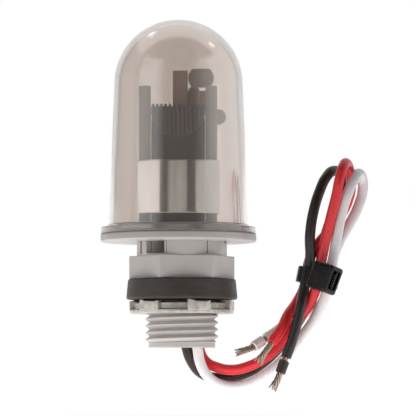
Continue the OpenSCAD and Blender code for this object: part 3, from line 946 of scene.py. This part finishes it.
@dataclass
class CableTie:
    """The black tie round the folded leads: a strap, and a head with its slot and toothed strip.

    Args:
        place: the middle of the strap's loop.
        lean: how far the loop leans with the leads, in degrees.
        half: half the spacing of the leads across and along the loop.
        inner: the loop's corner radius inside.
        thick: the strap's thickness.
        wide: the strap's width.
        head: the head's width, depth and height.
        head_at: where the head's middle is from the loop's middle.
        head_turn: how far the head is turned, in degrees.
        head_lean: how far the head leans more than the loop, in degrees.
        slot: the slot's depth and height.
        teeth: how many teeth show in the slot.
    """

    place: Place = (38.86, 0.0, 6.3)
    lean: float = math.degrees(math.atan(0.2))
    half: Pair = (3.2, 1.7)
    inner: float = 1.75
    thick: float = 1.1
    wide: float = 4.6
    head: Place = (7.6, 5.4, 8.0)
    head_at: Place = (1.6, -8.36, 0.0)
    head_turn: float = -43.0
    head_lean: float = 9.0
    slot: Pair = (3.2, 5.4)
    teeth: int = 5

    def loop(self, count: int) -> list[Vector]:
        """Goes round the inside of the loop at the strap's lower edge.

        Args:
            count: how many points.

        Returns:
            The points in metres.
        """
        points = []
        for turn in (2 * math.pi * number / count for number in range(count)):
            across = math.copysign(self.half[0], math.cos(turn)) + self.inner * math.cos(turn)
            along = math.copysign(self.half[1], math.sin(turn)) + self.inner * math.sin(turn)
            points.append(mm(across, along, -self.wide / 2))
        return points

    def build(self) -> Piece:
        """Builds the tie in one piece.

        Returns:
            The tie.
        """
        clear()
        points = self.loop(72)
        bpy.ops.mesh.primitive_circle_add(vertices=len(points), radius=MM)
        strap = named("nylon_tie")
        for vertex, point in zip(strap.data.vertices, points):
            vertex.co = point
        edit(strap)
        bpy.ops.mesh.extrude_region_move(TRANSFORM_OT_translate={"value": mm(0, 0, self.wide)})
        close_up()
        modify(strap, "SOLIDIFY", thickness=self.thick * MM, offset=1.0)
        soften(strap, 0.28, 3, 40)
        gather(strap, [self.build_head()])
        set_in(strap, self.place, turned(self.lean, "Y"))
        return hand_over(strap, BLACK_NYLON.build(), "cable_tie")

    def build_head(self) -> Piece:
        """Builds the head with its slot and the toothed strip that lies in it.

        Returns:
            The head, turned to its place in the loop's frame.
        """
        x, y, z = (size / 2 for size in self.head)
        deep, high = (size / 2 for size in self.slot)
        head = block("tie_head", (-x, -y, -z), (x, y, z), 1.05, 4)
        cut(head, [block("tie_slot", (-x - 1, -deep, -high), (x + 1, deep, high), 0.2)])
        strip = block("tie_strip", (-x + 0.5, -0.1, -high + 0.25), (x - 0.1, 0.55, high - 0.25), 0.15)
        teeth = [block(f"tie_tooth_{number}", (x - 1.5, -0.6, -1.9 + 0.78 * number),
                       (x - 0.2, -0.05, -1.5 + 0.78 * number), 0.12) for number in range(self.teeth)]
        gather(head, [strip, *teeth])
        set_in(head, self.head_at, turned(self.head_lean, "Y") @ turned(self.head_turn, "Z"))
        return head


@dataclass
class Harness:
    """The three leads folded together, with their bared ends and the tie.

    Args:
        leads: the three leads.
        tied: the colour of the lead that the tie goes with.
    """

    leads: tuple[Lead, ...] = (
        Lead("black", BLACK_PVC, (
            (-2, 0, 14), (-2, 0, 6), (1.2, -0.9, -13), (2.8, -0.4, -17.6), (6, 1, -21.2), (11, 2.3, -22.3),
            (17.5, 2.6, -21.3), (23, 2.8, -18.2), (27.8, 3, -13.7), (31.9, 3.2, -8.4), (35.8, 2.6, -2),
            (38.2, 1.7, 3), (39.8, 1.7, 11), (41, 5.2, 17.5), (43, 7.8, 23.5), (45.4, 9.2, 28.5),
            (47, 9.6, 33), (46.4, 8.4, 36.2), (43.8, 5.4, 37.4), (41.4, 2.6, 35.2), (39.5, 0.6, 31.2),
            (37.7, -1.2, 25.5), (36.6, -2, 18.5), (36.6, -1.7, 11.6), (35, -1.7, 3.6), (33.8, -4, -2),
            (32.5, -5.2, -7.5), (31, -6, -12.5), (29.5, -6.4, -16.5)),
            ((29.5, -6.4, -16.5), (27.85, -6.84, -20.9), (26.7, -7.1, -23.6), (25.5, -7.2, -25.6)),
            frayed=(1.5, 0.9), slugged=True),
        Lead("red", RED_PVC, (
            (3.5, 3.1, 14), (3.5, 3.1, 6), (4.8, 1.8, -12.5), (5.5, 1.4, -15.6), (7.2, 0.8, -17.9),
            (9.8, 0, -19.2), (14, -0.6, -20), (19, -0.6, -19), (24.5, -0.4, -16), (29, 0, -11.5),
            (33, -0.2, -6), (36.4, -0.9, -1.2), (38.2, -1.7, 3), (39.8, -1.7, 11), (41.1, -3, 17.5),
            (42.6, -4.4, 24), (44, -5.2, 29.5), (45, -5.4, 34.5), (46, -4, 37.8), (47, -0.8, 39.1),
            (48, 2.4, 37.8), (48.7, 3.8, 34.5), (48, 3.2, 29.5), (45.4, 2.2, 24), (42, 1.3, 19.6),
            (38.6, 1, 15.4), (36.6, 1.7, 11.6), (35, 1.7, 3.6), (33, 1.6, -0.5), (30.2, -1, -4.5),
            (28.2, -4, -8.5), (25.5, -5.8, -12.3)),
            ((25.5, -5.8, -12.3), (23.88, -6.88, -14.58), (22.7, -7.2, -16.3), (21.5, -7.2, -18)),
            frayed=(1.6, 0.75)),
        Lead("white", WHITE_PVC, (
            (1, -4.2, 14), (1, -4.2, 6), (4.4, -3, -13), (5.2, -2.9, -17.8), (7.6, -2.5, -22),
            (11.8, -1.6, -24.4), (17.5, -1, -24.4), (24, -0.6, -21.2), (29.5, -0.4, -16.5),
            (34.1, -0.5, -10.8), (38.6, -0.9, -4.2), (41.4, -1.7, 2.4), (43, -1.7, 10.4),
            (44.2, -2.4, 17.5), (45.7, -3.2, 25), (47.9, -3.8, 31.6), (49.5, -2.5, 34.9), (50.8, 0.6, 36.2),
            (51.9, 3.6, 34.9), (52.1, 5, 31.6), (50.6, 5, 26.6), (47.8, 4, 21.2), (45, 2.6, 16.2),
            (43, 1.7, 10.4), (41.4, 1.7, 2.4), (40, 3.2, -1.2), (36.6, 6, -3.6), (32, 6.6, -5.2),
            (27.6, 3.4, -8.6), (24, 1.4, -11)),
            ((24, 1.4, -11), (20.4, -0.6, -13.4), (17.6, -1.4, -14.5), (15.2, -1.6, -15.2)),
            frayed=(1.15, 1.0), slugged=True))
    tied: str = "red"

    def build(self) -> None:
        """Builds the tie and the three leads."""
        tie = CableTie().build()
        for lead in self.leads:
            lead.build([tie] if lead.colour == self.tied else [])


# Dome and base.


@dataclass
class SmokedDome:
    """The smoked dome with the flange round its foot.

    Args:
        axis_x: where its axis stands.
        radius: the round top's radius.
        centre: the height of the round top's middle.
        wall: the wall's thickness.
        draft: how far the sides lean in, in degrees.
        foot: the flange's lower and upper height.
        flange: the flange's radius.
        fillet: the rounding between side and flange.
        row: the height of a row of faces on the side.
    """

    axis_x: float = -1.0
    radius: float = 18.45
    centre: float = 62.0
    wall: float = 1.5
    draft: float = 2.4
    foot: Pair = (18.75, 20.7)
    flange: float = 22.3
    fillet: float = 0.8
    row: float = 8.0

    def side(self, radius: float, height: float) -> Pair:
        """Finds a point of the drafted side below a round top.

        Args:
            radius: the round top's radius.
            height: the point's height.

        Returns:
            The point's radius and height.
        """
        lean = math.radians(self.draft)
        touch_r, touch_z = radius * math.cos(lean), self.centre + radius * math.sin(lean)
        return touch_r + (touch_z - height) * math.tan(lean), height

    def build(self) -> None:
        """Lathes the dome with its wall and flange."""
        low, high = self.foot
        inner = self.radius - self.wall
        outside = arc((0.0, self.centre), self.radius, 90.0, self.draft, 34)
        inside = arc((0.0, self.centre), inner, self.draft, 90.0, 34)
        rows = [self.centre - self.row * step for step in range(1, 5)]
        foot = rounded([self.side(self.radius, high + 6), (*self.side(self.radius, high), self.fillet),
                        (self.flange, high, 0.3), (self.flange, low, 0.5), self.side(inner, low)], parts=4)
        down = [self.side(self.radius, height) for height in rows]
        up = [self.side(inner, height) for height in reversed(rows)]
        profile = [(0.0, outside[0][1]), *outside[1:], *down, *foot, *up, *inside[:-1], (0.0, inside[-1][1])]
        dome = lathe("smoked_dome", profile, self.axis_x, steps=144)
        hand_over(dome, SMOKED_DOME.build(), "dome_cover", angle=50)


@dataclass
class BasePlate:
    """The grey plate under the dome, with its rim, two posts, snap hooks and tongue.

    Args:
        axis_x: where its axis stands.
        radius: its radius.
        heights: its lower and upper height.
        rim: the rim's inner and outer radius.
        rim_top: the rim's height.
        posts: the posts' places from the axis, left one first.
        post_r: the posts' radius.
        post_top: the posts' height.
        pins: the places of the three pin holes.
        pin_r: the holes' radius.
        hooks: the angles of the two spring hooks that catch in the neck's windows.
        hook_more: how far the hooks' springs reach past their noses, in degrees.
        hook_r: the hooks' inner and outer radius, and their noses' radius.
        hook_foot: the height of the hooks' foot.
        root: how far posts, hooks and tongue reach into the plate.
        tongue_at: where the tongue behind the front window starts, at the window's left side.
        tongue: the tongue's length and thickness.
        tongue_turn: how far it leans in towards its right end.
    """

    axis_x: float = -1.0
    radius: float = 22.3
    heights: Pair = (16.5, 18.75)
    rim: Pair = (17.29, 18.49)
    rim_top: float = 20.9
    posts: tuple[Pair, ...] = ((-9.207, -9.873), (9.207, -9.873))
    post_r: float = 1.6
    post_top: float = 60.28
    pins: tuple[Pair, ...] = ((-2.0, 0.0), (1.0, -4.2), (3.5, 3.1))
    pin_r: float = 0.9
    hooks: tuple[Pair, ...] = ((69.5, 96.5), (187.5, 216.5))
    hook_more: float = 6.0
    hook_r: Place = (9.5, 10.9, 12.9)
    hook_foot: float = 12.7
    root: float = 0.3
    tongue_at: Pair = (-8.35, -7.2)
    tongue: Pair = (6.4, 0.9)
    tongue_turn: float = 23.0

    def build(self) -> None:
        """Lathes the plate and its rim, drills it, and adds the posts, the hooks and the tongue."""
        low, high = self.heights
        profile = rounded([(0.0, high), (self.rim[0], high), (self.rim[0], self.rim_top, 0.25),
                           (self.rim[1], self.rim_top, 0.25), (self.rim[1], high), (self.radius, high, 0.5),
                           (self.radius, low + 0.35, 0.15), (self.radius - 0.3, low, 0.15), (0.0, low)])
        plate = lathe("plate_and_posts", profile, self.axis_x, steps=144)
        holes = [drill(f"pin_drill_{number}", self.pin_r, low, high, 24) for number in range(len(self.pins))]
        for hole, pin in zip(holes, self.pins):
            set_in(hole, (*pin, 0))
        cut(plate, holes)
        gather(plate, [self.stand_post(x, y) for x, y in self.posts])
        for angles in self.hooks:
            gather(plate, self.hang_hook(angles))
        gather(plate, [self.hang_tongue()])
        hand_over(plate, GREY_ABS.build(), "base_plate")

    def hang_hook(self, angles: Pair) -> list[Piece]:
        """Spins one spring hook and its nose.

        Args:
            angles: the nose's first and last angle.

        Returns:
            The hook and the nose.
        """
        inner, outer, nose = self.hook_r
        low = self.heights[0]
        spring = sector("hook", (inner, outer), (angles[0] - self.hook_more, angles[1] + self.hook_more),
                        (self.hook_foot, low + self.root), bevel=0.15)
        catch = sector("hook_nose", (outer - 0.2, nose), angles, (self.hook_foot + 0.3, low - 0.3), bevel=0.2)
        return [spring, catch]

    def hang_tongue(self) -> Piece:
        """Hangs the flat tongue that leans in behind the front window.

        Returns:
            The tongue.
        """
        tongue = block("tongue", (0, 0, self.hook_foot), (*self.tongue, self.heights[0] + self.root), 0.15)
        set_in(tongue, (*self.tongue_at, 0), turned(self.tongue_turn, "Z"))
        return tongue

    def stand_post(self, x: float, y: float) -> Piece:
        """Lathes one post with a rounded foot and top.

        Args:
            x: its place across, from the plate's axis.
            y: its place from front to back.

        Returns:
            The post.
        """
        foot, wide = self.heights[1] - self.root, self.post_r + 0.5
        profile = rounded([(wide, foot), (wide, foot + 0.4), (self.post_r, foot + 1.0, 0.5),
                           (self.post_r, self.post_top, 0.35), (0.0, self.post_top)])
        post = lathe("post", [(0.0, foot), *profile], steps=40)
        set_in(post, (self.axis_x + x, y, 0))
        return post


@dataclass
class StemFitting:
    """The grey moulding below the plate: a windowed neck, a hexagon and the threaded stem.

    Args:
        crest: the thread's crest radius.
        root: its root radius.
        plain: the radius of the plain end and of the stem's blank.
        bore: the wire way's radius.
        pitch: the thread's pitch.
        crest_at: the height of a crest at the front.
        end: the stem's lower end.
        thread_end: where the thread runs out above the plain end.
        runout: how far below that the wall's close rows start.
        rows: how many close rows the thread is pressed into.
        hex_z: the hexagon's lower and upper height.
        flats: the hexagon's width across flats.
        hex_turn: how far its front flat is turned to the right, in degrees.
        neck_z: the neck's lower and upper height.
        neck: the neck's inner and outer radius.
        windows: the angles of the snap windows.
        slits: the angles of the narrow slits beside them.
    """

    crest: float = 10.4
    root: float = 9.3
    plain: float = 9.5
    bore: float = 7.5
    pitch: float = 1.95
    crest_at: float = -9.0
    end: float = -13.7
    thread_end: float = -12.1
    runout: float = 0.3
    rows: int = 160
    hex_z: Pair = (5.9, 12.4)
    flats: float = 26.3
    hex_turn: float = 5.9
    neck_z: Pair = (12.4, 16.6)
    neck: Pair = (11.1, 12.9)
    windows: tuple[Pair, ...] = ((-51, -22), (69, 97), (187, 217))
    slits: tuple[Pair, ...] = ((-66.5, -61), (-19.6, -18.9), (33.6, 34.9), (153, 154.5), (220, 221.5))

    def build(self) -> None:
        """Builds the stem, the hexagon and the neck in one piece."""
        fitting = self.cut_thread()
        gather(fitting, [self.shape_hexagon(), self.pierce_neck()])
        hand_over(fitting, GREY_ABS.build(), "stem_fitting", angle=40)

    def ridge(self, place: Vector) -> Vector:
        """Gives a point of the stem's wall its place on the right-hand thread.

        Args:
            place: the point on the plain wall.

        Returns:
            The point pushed out to the thread's form.
        """
        radius = math.hypot(place.x, place.y)
        if radius < self.plain - 0.05 or not self.thread_end - self.runout < place.z < self.hex_z[0] + 0.2:
            return place
        turn = math.atan2(place.y, place.x) / (2 * math.pi) + 0.25
        phase = (place.z - self.crest_at) / self.pitch - turn
        off = abs(phase - round(phase))
        height = min(1.0, max(0.0, (0.47 - off) / 0.41))
        fade = min(1.0, max(0.0, (place.z - self.thread_end + 0.15) / 0.3))
        grown = self.plain + (self.root + (self.crest - self.root) * height - self.plain) * fade
        return Vector((place.x * grown / radius, place.y * grown / radius, place.z))

    def cut_thread(self) -> Piece:
        """Lathes the stem's tube with close rows and presses the thread into them.

        Returns:
            The stem.
        """
        top, start = self.hex_z[0] + 1.0, self.thread_end - self.runout
        wall = [(self.plain, start + (top - start) * row / self.rows) for row in range(self.rows + 1)]
        foot = rounded([(self.bore, self.end + 0.4), (self.bore + 0.3, self.end, 0.15),
                        (self.plain, self.end, 0.25), (self.plain, start)])
        profile = [*foot[:-1], *wall, (self.bore, top), (self.bore, self.end + 0.4)]
        stem = lathe("threaded_fitting", profile, steps=120)
        press(stem, self.ridge)
        return stem

    def shape_hexagon(self) -> Piece:
        """Turns the hexagon to its place, rounds its edges and bores it.

        Returns:
            The hexagon.
        """
        clear()
        low, high = self.hex_z
        bpy.ops.mesh.primitive_cylinder_add(
            vertices=6, radius=self.flats / math.sqrt(3) * MM, depth=(high - low) * MM,
            location=mm(0, 0, (low + high) / 2), rotation=(0, 0, math.radians(30 + self.hex_turn)))
        hexagon = named("hexagon")
        settle()
        bit = drill("hexagon_drill", self.bore, low, high, 80)
        soften(hexagon, 0.25, 3, 40)
        cut(hexagon, [bit])
        return hexagon

    def pierce_neck(self) -> Piece:
        """Lathes the neck's ring and cuts its windows and slits.

        Returns:
            The neck.
        """
        low, high = self.neck_z
        inner, outer = self.neck
        neck = lathe("neck", [(self.bore, low - 0.2), (outer, low - 0.2), (outer, high), (inner, high),
                              (inner, low + 0.3), (self.bore, low + 0.3), (self.bore, low - 0.2)], steps=120)
        cut(neck, [sector(f"neck_cutter_{number}", (inner - 0.6, outer + 1), angles, (low + 0.5, high + 1), 6)
                   for number, angles in enumerate(self.windows + self.slits)])
        return neck


@dataclass
class Gasket:
    """The thick rubber washer clamped under the hexagon.

    Args:
        bore: its hole's radius.
        outer: its radius at its foot and at its top.
        heights: its lower and upper height.
    """

    bore: float = 10.7
    outer: Pair = (15.95, 15.4)
    heights: Pair = (0.0, 5.9)

    def build(self) -> None:
        """Lathes the washer with a rounded foot."""
        low, high = self.heights
        profile = rounded([(self.bore, low, 0.2), (self.outer[0], low, 0.9), (self.outer[1], high, 0.6),
                           (self.bore, high, 0.2)], closed=True, parts=4)
        gasket = lathe("rubber_gasket", profile, steps=128)
        hand_over(gasket, NEOPRENE.build(), "gasket", Body.GASKET)


@dataclass
class Locknut:
    """The cast locknut: a ring on a flat foot with six lugs to turn it by.

    Args:
        bore: its hole's radius.
        outer: the lugs' radius.
        depth: how far the ring lies inside the lugs.
        heights: its lower and upper height.
        foot: the foot ring's height.
        lugs: how many lugs there are.
        lug_wide: each lug's angle.
        first: the angle where the first lug starts.
        dips: how far a lug's top dips, as (share of its width from its left edge, dip).
    """

    bore: float = 10.7
    outer: float = 15.0
    depth: float = 1.4
    heights: Pair = (-4.0, 0.0)
    foot: float = 1.1
    lugs: int = 6
    lug_wide: float = 27.0
    first: float = 6.9
    dips: tuple[Pair, ...] = ((0.0, 0.0), (0.15, 0.05), (0.35, 0.55), (0.8, 0.6), (1.0, 0.35))

    def crown(self, share: float) -> float:
        """Finds how far a lug's top dips.

        Args:
            share: the share of the lug's width from its left edge.

        Returns:
            The dip.
        """
        for (a, low), (b, high) in zip(self.dips, self.dips[1:]):
            if share <= b:
                return low + (high - low) * (share - a) / (b - a)
        return self.dips[-1][1]

    def build(self) -> None:
        """Builds the ring and joins its lugs to it."""
        low, high = self.heights
        wide, ring_r, step = self.outer - 0.2, self.outer - self.depth, low + self.foot
        profile = rounded([(self.bore, low, 0.2), (wide, low, 0.45), (wide, step, 0.25),
                           (ring_r, step + 0.1, 0.15), (ring_r - 0.1, high - 0.9, 0.35),
                           (self.bore + 1.2, high - 0.9, 0.3), (self.bore, high, 0.2)], closed=True)
        nut = lathe("cast_locknut", profile, steps=144)
        gather(nut, [self.form_lug(number) for number in range(self.lugs)])
        hand_over(nut, DIE_CAST_ZINC.build(), "locknut", Body.LOCKNUT)

    def form_lug(self, number: int) -> Piece:
        """Spins one lug and presses its wavy top.

        Args:
            number: which lug it is.

        Returns:
            The lug.
        """
        low, high = self.heights
        start = self.first + 360 / self.lugs * number
        lug = sector(f"lug_{number}", (self.bore + 1.6, self.outer), (start, start + self.lug_wide),
                     (low + self.foot - 0.3, high), steps=14)

        def dip(place: Vector) -> Vector:
            """Lowers a point of the lug's top.

            Args:
                place: the point.

            Returns:
                The point on the wavy top.
            """
            if place.z < high - 0.01:
                return place
            angle = math.degrees(math.atan2(place.x, -place.y))
            share = min(1.0, max(0.0, ((angle - start + 180) % 360 - 180) / self.lug_wide))
            return Vector((place.x, place.y, high - self.crown(share)))

        press(lug, dip)
        soften(lug, 0.3, 3, 50)
        return lug


# Inside of the dome.


@dataclass
class SwitchCore:
    """What stands inside the dome: shield, switch body, ribbed baffle, light cell and its neighbours.

    Args:
        axis_x: where the dome's axis stands.
        shield_r: the shield's inner and outer radius.
        shield_half: half the shield's angle.
        shield_z: the shield's lower and upper height.
        housing: the switch body's lowest and highest corner.
        lid: the height of the switch body's lid.
        baffle: the baffle's lowest and highest corner.
        ribs: how many ribs the baffle has.
        rib_half: half a rib's width.
        carrier: the carrier board's lowest and highest corner.
        ear: the lowest and highest corner of the low strip behind the cell's wires.
        cell: the cell's middle.
        cell_r: the cell's radius.
        cell_y: the cell's front and back.
        cell_flat: how far the cell's flats lie above and below its middle.
        cell_wires: the places of the cell's two wires across.
        wire: the diameter of the cell's and the surge disc's wires.
        sleeve: the sleeve's place across and from front to back.
        sleeve_r: the sleeve's radius.
        sleeve_hole: the radius of the sleeve's hole.
        sleeve_z: the sleeve's lower and upper height.
        surge: the surge disc's middle.
        surge_r: the surge disc's radius.
        surge_half: half the surge disc's thickness.
    """

    axis_x: float = -1.0
    shield_r: Pair = (15.15, 15.65)
    shield_half: float = 47.0
    shield_z: Pair = (23.9, 39.1)
    housing: Box = ((-8.51, -9.0, 18.9), (6.51, 6.0, 54.5))
    lid: float = 3.2
    baffle: Box = ((-8.51, -11.0, 45.8), (6.51, -9.0, 55.1))
    ribs: int = 13
    rib_half: float = 0.35
    carrier: Box = ((-2.65, -1.0, 54.5), (1.65, 0.6, 65.8))
    ear: Box = ((1.2, 2.1, 54.3), (6.9, 2.7, 60.2))
    cell: Place = (5.45, 0.1, 63.6)
    cell_r: float = 3.7
    cell_y: Pair = (-1.0, 1.2)
    cell_flat: float = 2.7
    cell_wires: Pair = (2.85, 4.05)
    wire: float = 0.6
    sleeve: Pair = (3.45, 0.1)
    sleeve_r: float = 1.7
    sleeve_hole: float = 0.35
    sleeve_z: Pair = (54.5, 60.8)
    surge: Place = (10.41, -2.0, 52.2)
    surge_r: float = 2.2
    surge_half: float = 1.5

    def build(self) -> None:
        """Builds all the pieces inside the dome."""
        self.roll_shield()
        self.mould_housing()
        self.mould_baffle()
        self.cut_carrier()
        self.dip_cell()
        self.slip_sleeve()
        self.dip_surge_disc()

    def roll_shield(self) -> None:
        """Spins the curved sheet and gives it its thickness and soft edges."""
        low, high = self.shield_z
        inner, outer = self.shield_r
        rows = [low, low + 0.35, *(low + (high - low) * step / 6 for step in range(1, 6)), high - 0.35, high]
        sheet = lathe("rolled_shield", [(inner, height) for height in rows], self.axis_x, steps=60,
                      start=-self.shield_half, sweep=2 * self.shield_half)
        modify(sheet, "SOLIDIFY", thickness=(outer - inner) * MM, offset=1.0)
        press(sheet, self.seat_sheet)
        soften(sheet, 0.12, 2, 50)
        hand_over(sheet, ROLLED_ALUMINIUM.build(), "light_shield")

    def seat_sheet(self, place: Vector) -> Vector:
        """Puts a point of the sheet on its inner or outer face, whichever way the thickness grew.

        Args:
            place: the point.

        Returns:
            The point on the nearer face.
        """
        flat = Vector((place.x - self.axis_x, place.y, 0.0))
        inner, outer = self.shield_r
        flat *= (inner if abs(flat.length - inner) < 0.01 else outer) / flat.length
        return Vector((flat.x + self.axis_x, flat.y, place.z))

    def mould_housing(self) -> None:
        """Makes the switch body with a stepped lid and rounded edges."""
        (left, front, foot), (right, back, top) = self.housing
        split = top - self.lid
        body = block("switch_body", (left, front, foot), (right, back, split), 0.35)
        lid = block("switch_lid", (left + 0.3, front + 0.3, split + 0.2), (right - 0.3, back - 0.3, top), 0.5)
        seam = block("switch_seam", (left + 0.7, front + 0.7, split - 0.4),
                     (right - 0.7, back - 0.7, split + 0.6))
        gather(body, [lid, seam])
        hand_over(body, BLACK_PHENOLIC.build(), "switch_housing")

    def mould_baffle(self) -> None:
        """Makes the ribbed baffle: a back web and upright ribs with comb tips and a half-round foot."""
        (left, front, low), (right, back, tips) = self.baffle
        top = self.housing[1][2]
        middle, half = (left + right) / 2, (right - left) / 2
        drop = top - low
        round_r = (half ** 2 + drop ** 2) / (2 * drop)

        def foot(x: float) -> float:
            """Gives the height of the half-round foot at a place across."""
            return low + round_r - math.sqrt(max(0.0, round_r ** 2 - (x - middle) ** 2))

        web = block("ribbed_baffle", (left, front + 0.9, low), (right, back, top))
        edit(web)
        bpy.ops.mesh.subdivide(number_cuts=23)
        close_up()
        press(web, lambda p: Vector((p.x, p.y, top - (top - p.z) * (top - foot(p.x)) / drop)))
        ribs = []
        for number in range(self.ribs):
            x = left + 2 * half / self.ribs * (number + 0.5)
            ribs.append(block(f"rib_{number}", (x - self.rib_half, front, foot(x)),
                              (x + self.rib_half, front + 1.2, tips), 0.16))
        gather(web, ribs)
        # The baffle's finish is charcoal painted lighter than the switch body's black: a painted veil of light
        # seen through the dome.
        hand_over(web, PAINTED_VEIL_PHENOLIC.build(), "light_baffle")

    def cut_carrier(self) -> None:
        """Makes the brown board that carries the cell, with a thinner step at its foot and a low ear."""
        (left, front, foot), right = self.carrier[0], self.carrier[1][0]
        board = block("cell_board", *self.carrier, 0.18, 3)
        low, high = (left - 1, front - 1, foot - 1), (right + 1, front + 0.35, foot + 2.2)
        cut(board, [block("board_step", low, high, 0.1)])
        gather(board, [block("board_ear", *self.ear, 0.12)])
        hand_over(board, BROWN_BOARD.build(), "cell_carrier")

    def dip_cell(self) -> None:
        """Lathes the flat disc of the light cell, trims its flats and hangs its wires."""
        (x, y, z), (front, back), flat = self.cell, self.cell_y, self.cell_flat
        profile = rounded([(0.0, 0.0), (self.cell_r, 0.0, 0.35), (self.cell_r, back - front, 0.35),
                           (0.0, back - front)])
        disc = lathe("light_cell", profile, steps=64)
        set_in(disc, (x, front, z), turned(-90, "X"))
        press(disc, lambda p: Vector((p.x, p.y, z + max(-flat, min(flat, p.z - z)))))
        ends = (z - 1.5, z - 4.0, self.sleeve_z[0] - 0.9)
        wires = [[mm(across, y, height) for height in ends] for across in self.cell_wires]
        gather(disc, [rods("cell_wires", wires, self.wire)])
        hand_over(disc, CELL_EPOXY.build(), "photo_cell")

    def slip_sleeve(self) -> None:
        """Lathes the sleeve on the cell's wires, drawn in at its upper end."""
        low, high = self.sleeve_z
        outer, hole = self.sleeve_r, self.sleeve_hole
        profile = rounded([(hole, low), (outer, low, 0.3), (outer, high - 1.2, 0.4), (outer - 0.3, high, 0.3),
                           (hole, high)])
        sleeve = lathe("shrink_sleeve", [*profile, (hole, low)], steps=48)
        set_in(sleeve, (*self.sleeve, 0))
        hand_over(sleeve, SLEEVE_POLYOLEFIN.build(), "cell_sleeve")

    def dip_surge_disc(self) -> None:
        """Lathes the rounded surge disc and runs its two wires to the body."""
        half, (x, y, z), wall = self.surge_half, self.surge, self.housing[1][0]
        profile = rounded([(0.0, -half), (self.surge_r, -half, 0.9), (self.surge_r, half, 0.9), (0.0, half)],
                          parts=5)
        disc = lathe("surge_absorber", profile, steps=56)
        set_in(disc, self.surge, turned(-90, "X"))
        wires = [[mm(across, y, z + side) for across in (x - 1.5, wall + 0.6, wall - 0.2)]
                 for side in (-0.8, 0.8)]
        gather(disc, [rods("surge_wires", wires, self.wire)])
        hand_over(disc, SURGE_EPOXY.build(), "surge_disc")


@dataclass
class HiddenSwitch:
    """The working parts inside the housing, which keep their CAD shapes and get their finishes.

    Args:
        finishes: each CAD node with its finish.
    """

    finishes: tuple[tuple[str, Finish], ...] = (
        ("terminal_pins", DRAWN_BRASS), ("contact_blade", DRAWN_BRASS), ("bimetal_blade", ROLLED_BIMETAL),
        ("contact_rivets", CONTACT_SILVER), ("heater_resistor", HEATER_CEMENT))

    def dress_nodes(self) -> None:
        """Gives each hidden CAD node its material."""
        for node, finish in self.finishes:
            dress(bpy.data.objects[node], finish.build())
            LOG.info("%s: %s", node, finish.name)


def main() -> None:
    """Builds the studio and every piece of the switch in order."""
    logging.basicConfig(level=logging.INFO, format="%(message)s")
    bpy.context.scene.view_settings.view_transform = "Standard"
    studio = Studio()
    studio.place_camera()
    Harness().build()
    studio.light_world()
    studio.hang_spots()
    studio.lay_floor()
    for part in (SmokedDome(), BasePlate(), StemFitting(), Gasket(), Locknut(), SwitchCore()):
        part.build()
    HiddenSwitch().dress_nodes()


if __name__ == "__main__":
    main()
